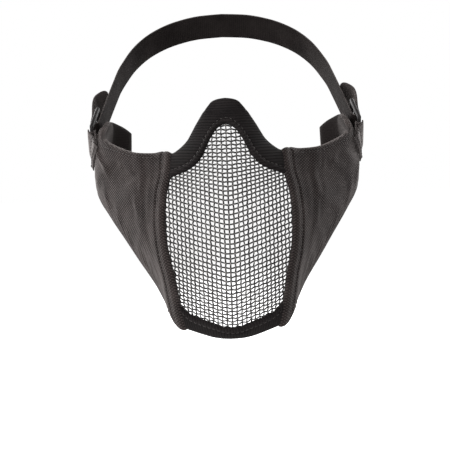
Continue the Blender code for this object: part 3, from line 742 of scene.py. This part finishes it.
drawing = bpy.data.curves.new("woven_wire", "CURVE")
drawing.dimensions = "3D"
drawing.bevel_depth = WIRE_RADIUS
drawing.bevel_resolution = 0
drawing.use_fill_caps = True
for run in wires:
    spline = drawing.splines.new("POLY")
    spline.points.add(len(run) - 1)
    spline.points.foreach_set("co", np.append(np.array(run), np.ones((len(run), 1)), axis=1).ravel())
choose(add_object("woven_wire", drawing))
bpy.ops.object.convert(target="MESH")
woven_wire = bpy.context.object
woven_wire.data.shade_smooth()
x, y, z = points_of(woven_wire).T
# rub: how far each wire stands out, which puts the lighter bare steel on the crowns, wear and in part a painted
# highlight.
stand = (front_depth(x, drop_of(z)) - y) / np.hypot(front_slope(x, drop_of(z)), 1) + MESH_THICKNESS / 2
set_rub(woven_wire.data, np.clip(stand / (2 * WIRE_RADIUS), 0, 1))
settle(woven_wire, ["mesh_panel"], "black_wire", WIRE)
print(len(wires), "lengths of wire")

# %% [markdown]
# ## The ribbed bands
#
# The nose bridge and the chin strip are folded strips of ribbed cloth. Their lower or upper fold holds the
# wire's edge: there the cloth is doubled, so it makes a rounded lip with a sewn groove behind it. The lip and
# the groove are in the shape, because they catch the light, and the ribs are in the finish.

# %% Band shells
LIP_WIDTH = 0.0027
LIP_RISE = 0.0005
LIP_TUCK = 0.00042
GROOVE_PLACE = LIP_WIDTH + 0.0006


def band_shell(name, table, lip_on_lower, steps, across_steps):
    """A band as a shell over the whole width, and the line and normals of its sewn groove."""
    reach = arc_length(table[:, 2:] * (HALF_WINDOW, MASK_HEIGHT))
    places = np.linspace(0, reach[-1], steps + 1)
    upper_out, upper_drop, lower_out, lower_drop = (smooth(reach, table[:, k], places)[:, None] for k in range(4))
    spread = np.linspace(0, 1, across_steps + 1)
    spread = (spread - 0.10 * np.sin(2 * math.pi * spread))[None]
    drop = upper_drop + (lower_drop - upper_drop) * spread
    x = HALF_WINDOW * (upper_out + (lower_out - upper_out) * spread)
    x[-1] = seam_out(drop[-1])
    x = np.maximum(x - FABRIC_GAP * ease((np.arange(steps + 1)[:, None] - steps + 2) / 2), 0)
    right = np.stack([x, front_depth(x, drop), level(drop)], axis=-1)
    grid = np.concatenate([right[:0:-1] * (-1, 1, 1), right])
    normals = grid_normals(grid)
    width = arc_length(grid, 1)
    to_lip = width[:, -1:] - width if lip_on_lower else width
    to_back = width if lip_on_lower else width[:, -1:] - width
    lip = np.clip(to_lip / LIP_WIDTH, 0, 1)
    rise = LIP_RISE * np.sin(math.pi * lip) ** 0.7 - 0.0006 * bump(to_lip - LIP_WIDTH - 0.0002, 0.0005)
    rise -= 0.0005 * np.exp(-to_lip / 0.0007) + 0.0007 * np.exp(-to_back / 0.0010)
    rise += 0.0003 * np.sin(math.pi * np.clip((to_lip - LIP_WIDTH) / (width[:, -1:] - LIP_WIDTH), 0, 1))
    outer = grid + normals * (LAP_GAP + BINDING_THICKNESS + rise)[..., None]
    inner = grid + normals * (LAP_GAP - LIP_TUCK * bump(to_lip, 0.0014))[..., None]
    along = np.repeat(arc_length(grid[:, across_steps // 2])[:, None], across_steps + 1, 1)
    flat = np.stack([along, -grid[..., 2]] if lip_on_lower else [width, along], axis=-1)
    rub = bump(to_lip - LIP_WIDTH * 0.55, 0.0010) + 0.6 * bump(to_back, 0.0012)
    piece = shell(name, outer, inner, flat, rub, bulge=(0.0001, 0.0001, 0.0004, 0.0004))
    away = slice(None, None, -1 if lip_on_lower else 1)
    rows = zip(to_lip[:, away], outer[:, away])
    groove = np.array([read_line(distances, row, GROOVE_PLACE) for distances, row in rows])
    return piece, (groove, normals[:, across_steps // 2])


nose_bridge, nose_groove = band_shell("ribbed_nose_bridge", NOSE_BAND, True, 70, 26)
chin_strip, chin_groove = band_shell("ribbed_chin_strip", CHIN_BAND, False, 44, 14)
settle(nose_bridge, ["nose_bridge"], "ribbed_fabric", RIBBED, LINING_PARTLY_PAINTED_SHADE)
settle(chin_strip, ["chin_strip"], "ribbed_fabric", RIBBED, LINING_PARTLY_PAINTED_SHADE)
for name, groove in (("nose", nose_groove), ("chin", chin_groove)):
    settle(stitch_rows("stitches_" + name, [groove], pitch=0.0031), [], "ribbed_fabric", THREAD)

# %% [markdown]
# ## The cheek panels
#
# Each panel is dense cloth over a thin pad, turned in at its edges. Its front edge is a round hem that stands
# over the wire, with a sewn groove behind it, and the cloth puckers where it is drawn into that groove.
# The hem, groove and creases are put into the grid, and then a short cloth simulation blows the pad up a
# little between the rows of stitches, which gives the uneven swell that real padding has.

# %% Steps along and up a cheek panel
CHEEK_ROWS = 72
FINE_REACH = 0.0095
PROBE_DROP = 0.36
shares = np.linspace(0, 1, 400)
arc = arc_length(side_points(shares, PROBE_DROP))
places = np.append(np.linspace(0, FINE_REACH, 20), np.linspace(FINE_REACH, arc[-1], 58)[1:])
backs = np.interp(places, arc, shares)
top, bottom = (smooth(t[:, 0], t[:, 1], backs)[:, None] for t in (CHEEK_TOP, CHEEK_BOTTOM))
up_shares = np.linspace(0, 1, CHEEK_ROWS + 1)
up_shares = up_shares - 0.06 * np.sin(2 * math.pi * up_shares)
cheek_drop = bottom + (top - bottom) * up_shares[None]
cheek_back = np.repeat(backs[:, None], CHEEK_ROWS + 1, 1)
cheek_form = side_points(cheek_back, cheek_drop)
cheek_normals = grid_normals(cheek_form)
runs = side_points(np.linspace(0, 1, 50)[:, None, None] * cheek_back, cheek_drop)
level_length = arc_length(runs)[-1]
seam_line = side_points(0.0, np.linspace(SEAM[0, 0], SEAM[-1, 0], 160))
seam_reach = np.linalg.norm(cheek_form[:, :, None] - seam_line, axis=3).min(axis=2)
print("cheek grid", cheek_form.shape[:2])

# %% Hem, groove, creases and rim of a cheek panel
FOLDS = {
    # side: (back, drop) at both ends, height, width of each soft fold
    -1: (
        ((0.58, 0.15), (0.43, 0.280), 0.0018, 0.020),
        ((0.108, 0.26), (0.098, 0.44), 0.00045, 0.009),
        ((0.132, 0.27), (0.120, 0.58), -0.00035, 0.012),
        ((0.160, 0.24), (0.155, 0.36), 0.00035, 0.011),
        ((0.205, 0.27), (0.215, 0.50), -0.00020, 0.018),
        ((0.13, 0.62), (0.17, 0.80), 0.00020, 0.016),
    ),
    1: (
        ((0.66, 0.15), (0.55, 0.36), 0.0009, 0.026),
        ((0.105, 0.27), (0.110, 0.46), 0.00035, 0.011),
        ((0.140, 0.28), (0.130, 0.55), -0.00035, 0.013),
        ((0.205, 0.24), (0.190, 0.50), -0.00020, 0.018),
        ((0.14, 0.56), (0.18, 0.78), 0.00020, 0.016),
    ),
}
TOPSTITCH = 0.0042
HEM_SEAM = 1.35 * HEM_WIDTH

# distance of each point from the lower, upper, front and rear edge, along the grid
to_bottom, to_front = arc_length(cheek_form, 1), arc_length(cheek_form)
to_top, to_rear = to_bottom[:, -1:] - to_bottom, to_front[-1:] - to_front
to_edge = np.minimum(np.minimum(to_top, to_bottom), to_rear)


def cheek_lift(side):
    """How far the cloth's outer face stands off the form."""
    r = seam_reach
    crown = 0.0005 * (2 * np.clip(r / HEM_WIDTH, 0, 1) - 1) ** 2
    lift = PANEL_LIFT + (HEM_LIFT - PANEL_LIFT) * (1 - ease((r - 0.55 * HEM_WIDTH) / (2.9 * HEM_WIDTH)))
    lift -= crown * (1 - ease((r - HEM_WIDTH) / 0.001)) + 0.0006 * np.exp(-r / 0.0006)
    lift -= 0.0009 * bump(r - HEM_SEAM, 0.0010)
    pucker = np.sin(cheek_drop * 210 + 2.0 * np.sin(cheek_drop * 37 + side) + side)
    lift += 0.00022 * pucker * bump(r - 1.7 * HEM_WIDTH, 0.0035) * (r > 1.1 * HEM_WIDTH)
    for (back_0, drop_0), (back_1, drop_1), height, width in FOLDS[side]:
        t = np.clip((cheek_drop - drop_0) / (drop_1 - drop_0), 0, 1)
        centre = back_0 + (back_1 - back_0) * t
        past_ends = np.maximum(np.maximum(drop_0 - cheek_drop, cheek_drop - drop_1), 0)
        lift += height * bump(past_ends, 0.035) * bump(cheek_back - centre, width)
    groove = 0.0004 + 0.0004 * ease((cheek_back - 0.4) / 0.3)
    lift -= groove * bump(to_edge - TOPSTITCH, 0.0008) * ease((r - 2 * HEM_WIDTH) / 0.01)
    lift -= 0.0013 * np.exp(-to_edge / 0.0016) * ease(r / (3 * HEM_WIDTH))
    return lift


def cheek_shell(side):
    """One panel as a shell, and the grid of its outer face."""
    drawn_in = (PANEL_LIFT - CHEEK_THICKNESS - LAP_GAP) * ease((seam_reach - 2.3 * MESH_LAP) / HEM_WIDTH)
    inner_level = LAP_GAP + drawn_in * (1 - 0.35 * np.exp(-to_edge / 0.0020))
    outer = cheek_form + cheek_normals * cheek_lift(side)[..., None]
    inner = cheek_form + cheek_normals * inner_level[..., None]
    flat = np.stack([level_length, cheek_form[..., 2]], axis=-1)
    rub = 0.6 * bump(seam_reach - 0.5 * HEM_WIDTH, 0.0018) + 0.7 * bump(to_edge, 0.0014)
    turn = np.array((side, 1, 1))
    name, bulge = "cheek_cloth_" + SIDE_NAMES[side], (0.0001, 0.0006, 0.0006, 0.0006)
    return shell(name, outer * turn, inner * turn, flat, rub, bulge), outer * turn


# %% Seams of a cheek panel, where its stitches run
def crossing_line(arrays, value, rows=None):
    """The line on a grid along which a field first reaches a value, a point for each row of the grid."""
    grid, field, normals = arrays
    line, ups = [], []
    for i in range(len(grid)) if rows is None else rows:
        over = np.nonzero(np.diff(np.sign(field[i] - value)))[0]
        if len(over):
            k = over[0]
            t = (value - field[i, k]) / (field[i, k + 1] - field[i, k])
            line.append(grid[i, k] * (1 - t) + grid[i, k + 1] * t)
            ups.append(normals[i, k])
    return np.array(line), np.array(ups)


def cheek_seams(outer, side):
    """The seam behind the hem, and the topstitching along the lower, upper and rear edge."""
    normals = cheek_normals * (side, 1, 1)
    from_hem = [np.swapaxes(a, 0, 1) for a in (outer, seam_reach, normals)]
    from_top = [a[:, ::-1] for a in (outer, to_top, normals)]
    from_rear = [np.swapaxes(a, 0, 1)[:, ::-1] for a in (outer, to_rear, normals)]
    start = int(np.argmax(to_front[:, CHEEK_ROWS // 2] > 0.012))
    end = len(outer) - int(np.argmax(to_rear[::-1, CHEEK_ROWS // 2] > TOPSTITCH))
    inside = np.nonzero(np.minimum(to_bottom, to_top)[end] > TOPSTITCH)[0]
    return [
        crossing_line(from_hem, HEM_SEAM),
        crossing_line((outer, to_bottom, normals), TOPSTITCH, range(start, end)),
        crossing_line(from_top, TOPSTITCH, range(start, end)),
        crossing_line(from_rear, TOPSTITCH, inside),
    ]


# %% [markdown]
# The simulation holds the hem, the rim, the grooves and the whole inner face, and lets the outer cloth between
# them swell by half a millimetre at most.

# %% Swell the padding
SWELL_STEPS = 20
MOST_SWELL = 0.0005


def swell(piece, free):
    """Runs a short cloth simulation; free gives each point from 0, held, to 1."""
    start = points_of(piece)
    held = piece.vertex_groups.new(name="held")
    for index, share in enumerate(free):
        held.add([index], 1 - float(share), "REPLACE")
    cloth = piece.modifiers.new("padding", "CLOTH")
    cloth.settings.quality = 4
    cloth.settings.mass = 0.15
    cloth.settings.tension_stiffness = 12
    cloth.settings.compression_stiffness = 12
    cloth.settings.bending_stiffness = 0.3
    cloth.settings.shrink_min = -0.008
    cloth.settings.vertex_group_mass = held.name
    cloth.settings.use_pressure = True
    cloth.settings.uniform_pressure_force = 3
    cloth.settings.effector_weights.gravity = 0
    cloth.collision_settings.use_collision = False
    cloth.point_cache.frame_end = SWELL_STEPS
    for number in range(1, SWELL_STEPS + 1):
        bpy.context.scene.frame_set(number)
    moved = points_of(piece.evaluated_get(bpy.context.evaluated_depsgraph_get())) - start
    size = np.linalg.norm(moved, axis=1, keepdims=True)
    moved *= np.minimum(1, MOST_SWELL / np.maximum(size, 1e-9)) * free[:, None]
    piece.modifiers.remove(cloth)
    piece.vertex_groups.remove(held)
    piece.data.vertices.foreach_set("co", (start + moved).ravel())
    bpy.context.scene.frame_set(1)
    print(piece.name, "swelled by at most", round(float(size.max()) * 1000, 2), "mm before the cap")


for side, name in SIDE_NAMES.items():
    cheek, outer_face = cheek_shell(side)
    free = ease((seam_reach - 1.7 * HEM_WIDTH) / 0.022) * ease((to_edge - TOPSTITCH - 0.0015) / 0.012)
    swell(cheek, np.append(free, np.zeros(len(cheek.data.vertices) - free.size)))
    finer = cheek.modifiers.new("smooth", "SUBSURF")
    finer.levels = finer.render_levels = 1
    apply_modifiers(cheek)
    # The cheek's inner face gets the lining, which is partly painted shade.
    settle(cheek, ["cheek_panel_" + name], "dense_fabric", DENSE, LINING_PARTLY_PAINTED_SHADE)
    settle(stitch_rows("stitches_cheek_" + name, cheek_seams(outer_face, side)), [], "dense_fabric", THREAD)

# %% [markdown]
# ## Webbing
#
# The strap and its tabs are woven tape of one width, so they are ribbons: rows of points across the tape, a
# wall on both sides and softly rounded selvedges. They run in one tilted plane, given by its slope and start,
# through the sliders. A swept curve would twist where the tape turns back round a bar, and rows don't.

# %% The strap's plane and its line
WEB_WIDTH = 0.020
STRAP_THICKNESS = 0.0014
TAB_THICKNESS = 0.0012
STRAP_RISE = math.radians(39)
STRAP_START = np.array((0.0, 0.062, -0.0225))
SLIDER_RUN = 0.0175
SLIDER_OUT = MASK_WIDTH / 2 - 0.0007
STRAP_REACH = 0.1165
BAR_SPACING = 0.009
BAR_WIDTH = 0.0024
SLIDER_RAIL = 0.0034
SLIDER_THICKNESS = 0.0024
WEB_PLAY = 0.0006
TAB_LENGTH = 0.0180
TAIL_LENGTH = 0.0243
TAIL_BULGE = 0.0038
TAIL_SKEW = 1.6
TAIL_TURN = 0.55
TAIL_CORNER = 0.005
STRAP_LINE = np.array((
    # run (share of STRAP_REACH), out (share of SLIDER_OUT)
    (0.000, 1.000),
    (0.120, 0.9655),
    (0.240, 0.930),
    (0.380, 0.886),
    (0.470, 0.856),
    (0.560, 0.812),
    (0.680, 0.740),
    (0.823, 0.598),
    (0.934, 0.390),
    (0.987, 0.180),
    (1.000, 0.000),
))
RUN = np.array((0.0, math.cos(STRAP_RISE), math.sin(STRAP_RISE)))
WIDE = np.array((0.0, -math.sin(STRAP_RISE), math.cos(STRAP_RISE)))
OUT = np.array((1.0, 0.0, 0.0))


def even_line(points, spacing):
    """Points spread evenly along a smooth line through the given ones."""
    chord = arc_length(points)
    fine = np.linspace(0, chord[-1], 600)
    line = np.stack([smooth(chord, values, fine) for values in points.T], axis=1)
    arc = arc_length(line)
    return read_line(arc, line, np.linspace(0, arc[-1], int(arc[-1] / spacing) + 1))


strap_line = even_line(STRAP_LINE * (STRAP_REACH, SLIDER_OUT) + (SLIDER_RUN, 0), 0.002)
CENTRE = strap_line[0]
ALONG = unit(strap_line[3] - strap_line[0])
OUTWARD = np.array((-ALONG[1], ALONG[0]))
print("slider at", np.round(CENTRE * 1000, 1), "mm in the strap's plane")


# %% Ribbons
WIDTHS = WEB_WIDTH / 2 * np.array((-1, -0.96, -0.85, -0.6, -0.3, 0, 0.3, 0.6, 0.85, 0.96, 1)) * 0.995


def ribbon(name, rows, thickness):
    """A tape through rows of points, with its wall on both sides of them; also gives its length."""
    rows = np.asarray(rows)
    along = arc_length(rows[:, len(WIDTHS) // 2])
    selvedge = np.abs(WIDTHS / WIDTHS[-1])
    wall = surface_normals(rows) * (thickness / 2) * (1 - 0.35 * selvedge**8)[None, :, None]
    flat = np.stack(np.broadcast_arrays(WIDTHS[None], along[:, None]), axis=-1)
    rub = np.repeat((selvedge**6)[None], len(rows), 0)
    return shell(name, rows + wall, rows - wall, flat, rub, bulge=(0.0003, 0.0003, 0.0002, 0.0002)), along[-1]


def tape_row(run, out, side=1, narrow=1.0):
    """A row of points across the tape at a place of the strap's plane."""
    return STRAP_START + RUN * run + WIDE * WIDTHS[:, None] * narrow + OUT * side * out


def half_turn(bar, radius, steps=14):
    """Places of the strap's plane round a bar's front, between its inner side and its outer side."""
    angles = np.linspace(0, math.pi, steps + 1)[1:-1, None]
    return bar - radius * (ALONG * np.sin(angles) + OUTWARD * np.cos(angles))


# %% The strap, a whole loop with its ends doubled back
TURN_RADIUS = max(BAR_WIDTH, SLIDER_THICKNESS) / 2 + WEB_PLAY
radius = TURN_RADIUS + STRAP_THICKNESS / 2
tangents = unit(np.gradient(strap_line, axis=0))
line_normals = np.stack([-tangents[:, 1], tangents[:, 0]], axis=1)
over = BAR_SPACING + BAR_WIDTH
apart = STRAP_THICKNESS + 2 * WEB_PLAY
rounded = TAIL_CORNER * (1 - np.cos(np.linspace(0, math.pi / 2, 7)[:-1]))
from_end = np.append(rounded, np.linspace(TAIL_CORNER, over + TAIL_LENGTH, 32))
cut_off = TAIL_CORNER - np.sqrt(TAIL_CORNER**2 - np.maximum(TAIL_CORNER - from_end, 0) ** 2)
narrowed = 1 - cut_off / (WEB_WIDTH / 2)
route = []
for t in over + TAIL_LENGTH - from_end:
    near = ease((t - over - TAIL_TURN * TAIL_LENGTH) / ((1 - TAIL_TURN) * TAIL_LENGTH))
    place = int(np.argmin(np.abs(np.linalg.norm(strap_line - CENTRE, axis=1) - t)))
    follow = strap_line[place] + ALONG * (t - np.linalg.norm(strap_line[place] - CENTRE))
    straight = CENTRE + ALONG * t + OUTWARD * radius
    arch = OUTWARD * TAIL_BULGE * math.sin(math.pi * (t / (over + TAIL_LENGTH)) ** TAIL_SKEW)
    route.append(straight * (1 - near) + (follow + line_normals[place] * (apart - radius)) * near + arch)
route += list(half_turn(CENTRE, radius)[::-1])
route += list(strap_line - line_normals * radius)
route = np.array(route)
route[-1, 1] = 0.0
narrowed = np.append(narrowed, np.ones(len(route) - len(narrowed)))
rows = [tape_row(*place, 1, share) for place, share in zip(route, narrowed)]
rows += [tape_row(*place, -1, share) for place, share in zip(route[-2::-1], narrowed[-2::-1])]
strap, strap_length = ribbon("elastic_strap", rows, STRAP_THICKNESS)
# The strap's inner face gets the darkened webbing, a painted shade.
settle(strap, ["head_strap"], "webbing", WEBBING, STRAP_INSIDE_PAINTED_SHADE)
print("strap", round(strap_length, 3), "m long")


# %% The tabs, two layers sewn on the cheek panels
def panel_at(y, z):
    """Points of the form on the right at y and z, and their outward normals."""
    drop = drop_of(z)
    start, end = (side_points(back, drop)[..., 1] for back in (0.0, 1.0))
    back = (y - start) / (end - start)
    near = 0.01
    backward = side_points(back + near, drop) - side_points(back - near, drop)
    normal = unit(np.cross(backward, side_points(back, drop + near) - side_points(back, drop - near)))
    return side_points(back, drop), normal * np.sign(normal[..., :1])


bar = CENTRE - ALONG * BAR_SPACING
tab_radius = TURN_RADIUS + TAB_THICKNESS / 2
TAB_END = 0.0035
TAB_SEWN = 0.6
BOX_START = 0.42
inner_lift = PANEL_LIFT + FABRIC_GAP + TAB_THICKNESS / 2
outer_lift = inner_lift + TAB_THICKNESS + FABRIC_GAP / 2


def tab_row(t, lift, offset):
    """A row t in front of the bar: on the panel far from it, and at the bar's side near it."""
    near = 1 - ease(t / (TAB_SEWN * TAB_LENGTH))
    lift -= TAB_THICKNESS * ease((t - TAB_LENGTH + TAB_END) / TAB_END)
    at_bar = bar - ALONG * t + OUTWARD * offset
    points, normals = panel_at(*tape_row(bar[0] - t, 0).T[1:])
    return tape_row(*at_bar) * near + (points + normals * lift) * (1 - near)


tab_steps = np.linspace(1, 0, 26)
tab_rows = [tab_row((TAB_LENGTH - TAB_END) * s, inner_lift, -tab_radius) for s in tab_steps]
tab_rows += [tape_row(*place) for place in half_turn(bar, tab_radius)]
outer_rows = [tab_row(TAB_LENGTH * s, outer_lift, tab_radius) for s in tab_steps[::-1]]
tab_rows = np.array(tab_rows + outer_rows)
sewn = np.array(outer_rows)[int(BOX_START * len(outer_rows)):-3, 1:-1]
sewn_normals = surface_normals(sewn)
sewn_normals *= np.sign(sewn_normals[..., :1])
sewn += sewn_normals * TAB_THICKNESS / 2
for side, name in SIDE_NAMES.items():
    turn = np.array((side, 1, 1))
    tab, _ = ribbon("tab_" + name, tab_rows * turn, TAB_THICKNESS)
    settle(tab, ["strap_tab_" + name], "webbing", WEBBING, WEBBING)
    sides = [np.s_[:, 0], np.s_[:, -1], np.s_[0, :], np.s_[-1, :]]
    box = [(sewn[way] * turn, sewn_normals[way] * turn) for way in sides]
    settle(stitch_rows("stitches_tab_" + name, box, pitch=0.0028), [], "webbing", THREAD)

# %% [markdown]
# ## Sliders
#
# A three-bar slider is moulded in one piece. A block at its outside size is cut through by two slots, and
# the bevel then rounds every edge at once, as the mould does, so the bars come out nearly round.

# %% Mould one slider and copy it to the other side
def block(size, x=0.0):
    """A plain block with its middle at x."""
    bpy.ops.object.select_all(action="DESELECT")
    bpy.ops.mesh.primitive_cube_add(size=1.0, location=(x, 0, 0))
    made = bpy.context.object
    made.scale = size
    bpy.ops.object.transform_apply(location=True, scale=True)
    return made


def slider(side):
    slot_width = WEB_WIDTH + 4 * WEB_PLAY
    length, height = 2 * BAR_SPACING + BAR_WIDTH, slot_width + 2 * SLIDER_RAIL
    body = block((length, height, SLIDER_THICKNESS))
    body.name = body.data.name = "slider_" + SIDE_NAMES[side] + "_moulded"
    cutters = [block((BAR_SPACING - BAR_WIDTH, slot_width, 0.01), k * BAR_SPACING / 2) for k in (-1, 1)]
    for cutter in cutters:
        slot = body.modifiers.new("slot", "BOOLEAN")
        slot.object = cutter
        slot.solver = "EXACT"
    edges = body.modifiers.new("moulded edges", "BEVEL")
    edges.width = 0.0010
    edges.segments = 4
    edges.angle_limit = math.radians(40)
    apply_modifiers(body)
    for cutter in cutters:
        bpy.data.objects.remove(cutter)
    out = OUT * side
    x_axis, y_axis = RUN * ALONG[0] + out * ALONG[1], WIDE * side
    z_axis = RUN * OUTWARD[0] + out * OUTWARD[1]
    place = Matrix(np.column_stack([x_axis, y_axis, z_axis]).tolist()).to_4x4()
    place.translation = Vector(STRAP_START + RUN * CENTRE[0] + out * CENTRE[1])
    normals = np.array([tuple(v.normal) for v in body.data.vertices])
    set_rub(body.data, np.clip(3 * (1 - np.abs(normals).max(axis=1)), 0, 1))
    body.data.transform(place)
    body.data.shade_smooth()
    body.data.set_sharp_from_angle(angle=math.radians(50))
    settle(body, ["strap_slider_" + SIDE_NAMES[side]], "black_plastic", PLASTIC)


for side in SIDE_NAMES:
    slider(side)

# %% [markdown]
# ## Camera, light and floor
#
# The camera stands 1.27 m in front and a little above, with a long lens, so the mask keeps its proportions.
# Four large soft lights stand round the mask. The two behind it are the strongest, so the cheeks get pale rims
# and the front stays darker. The floor is pale and plain.

# %% Camera
def aim(thing, target, roll=0.0):
    """Turns a camera or light to look at a point."""
    away = Vector(target) - thing.location
    turn = away.to_track_quat("-Z", "Y").to_matrix() @ Matrix.Rotation(roll, 3, "Z")
    thing.rotation_euler = turn.to_euler()


TARGET = (-0.0026, 0.0, -0.0715)
lens = bpy.data.cameras.new("camera")
lens.lens = 160.4
lens.sensor_width = 36.0
camera = add_object("camera", lens)
rise = math.radians(3.5)
camera.location = Vector(TARGET) + Vector((0, -math.cos(rise), math.sin(rise))) * 1.268
aim(camera, TARGET, math.radians(-2.0))
bpy.context.scene.camera = camera

# %% Lights
LIGHTS = (
    # name, place, size, power
    ("front", (-0.2, -1.08, 0.36), 0.9, 11),
    ("left front", (-0.98, -0.52, 0.36), 0.9, 8.8),
    ("left rear", (-0.75, 0.90, 0.36), 0.9, 26),
    ("right rear", (0.75, 0.90, 0.36), 0.9, 20),
)
for name, place, size, power in LIGHTS:
    lamp = bpy.data.lights.new(name, "AREA")
    lamp.size = size
    lamp.energy = power
    holder = add_object(name, lamp)
    holder.location = place
    aim(holder, (0, 0.03, -0.05))

# %% A white surround that lights the mask only softly, and the floor
AMBIENT = 0.08
FLOOR_GLOW = 0.97
FLOOR_HEIGHT = -0.24
world = bpy.data.worlds.new("white")
world.use_nodes = True
tree = world.node_tree
seen = add_node(tree, "LightPath").outputs["Is Camera Ray"]
surround = tree.nodes["Background"]
feed(tree, surround, Color=(1, 1, 1, 1), Strength=calc(tree, "MULTIPLY_ADD", seen, 1 - AMBIENT, AMBIENT))
bpy.context.scene.world = world
bpy.context.scene.view_settings.view_transform = "Standard"

bpy.ops.object.select_all(action="DESELECT")
bpy.ops.mesh.primitive_plane_add(size=8, location=(0, 0, FLOOR_HEIGHT))
floor = bpy.context.object
floor.name = "floor"
pale, tree, shader = new_material("pale floor")
seen = add_node(tree, "LightPath").outputs["Is Camera Ray"]
feed(tree, shader, Base_Color=(0.55, 0.55, 0.55, 1), Roughness=0.9, Emission_Color=(1, 1, 1, 1))
feed(tree, shader, Emission_Strength=calc(tree, "MULTIPLY", seen, FLOOR_GLOW))
floor.data.materials.append(pale)
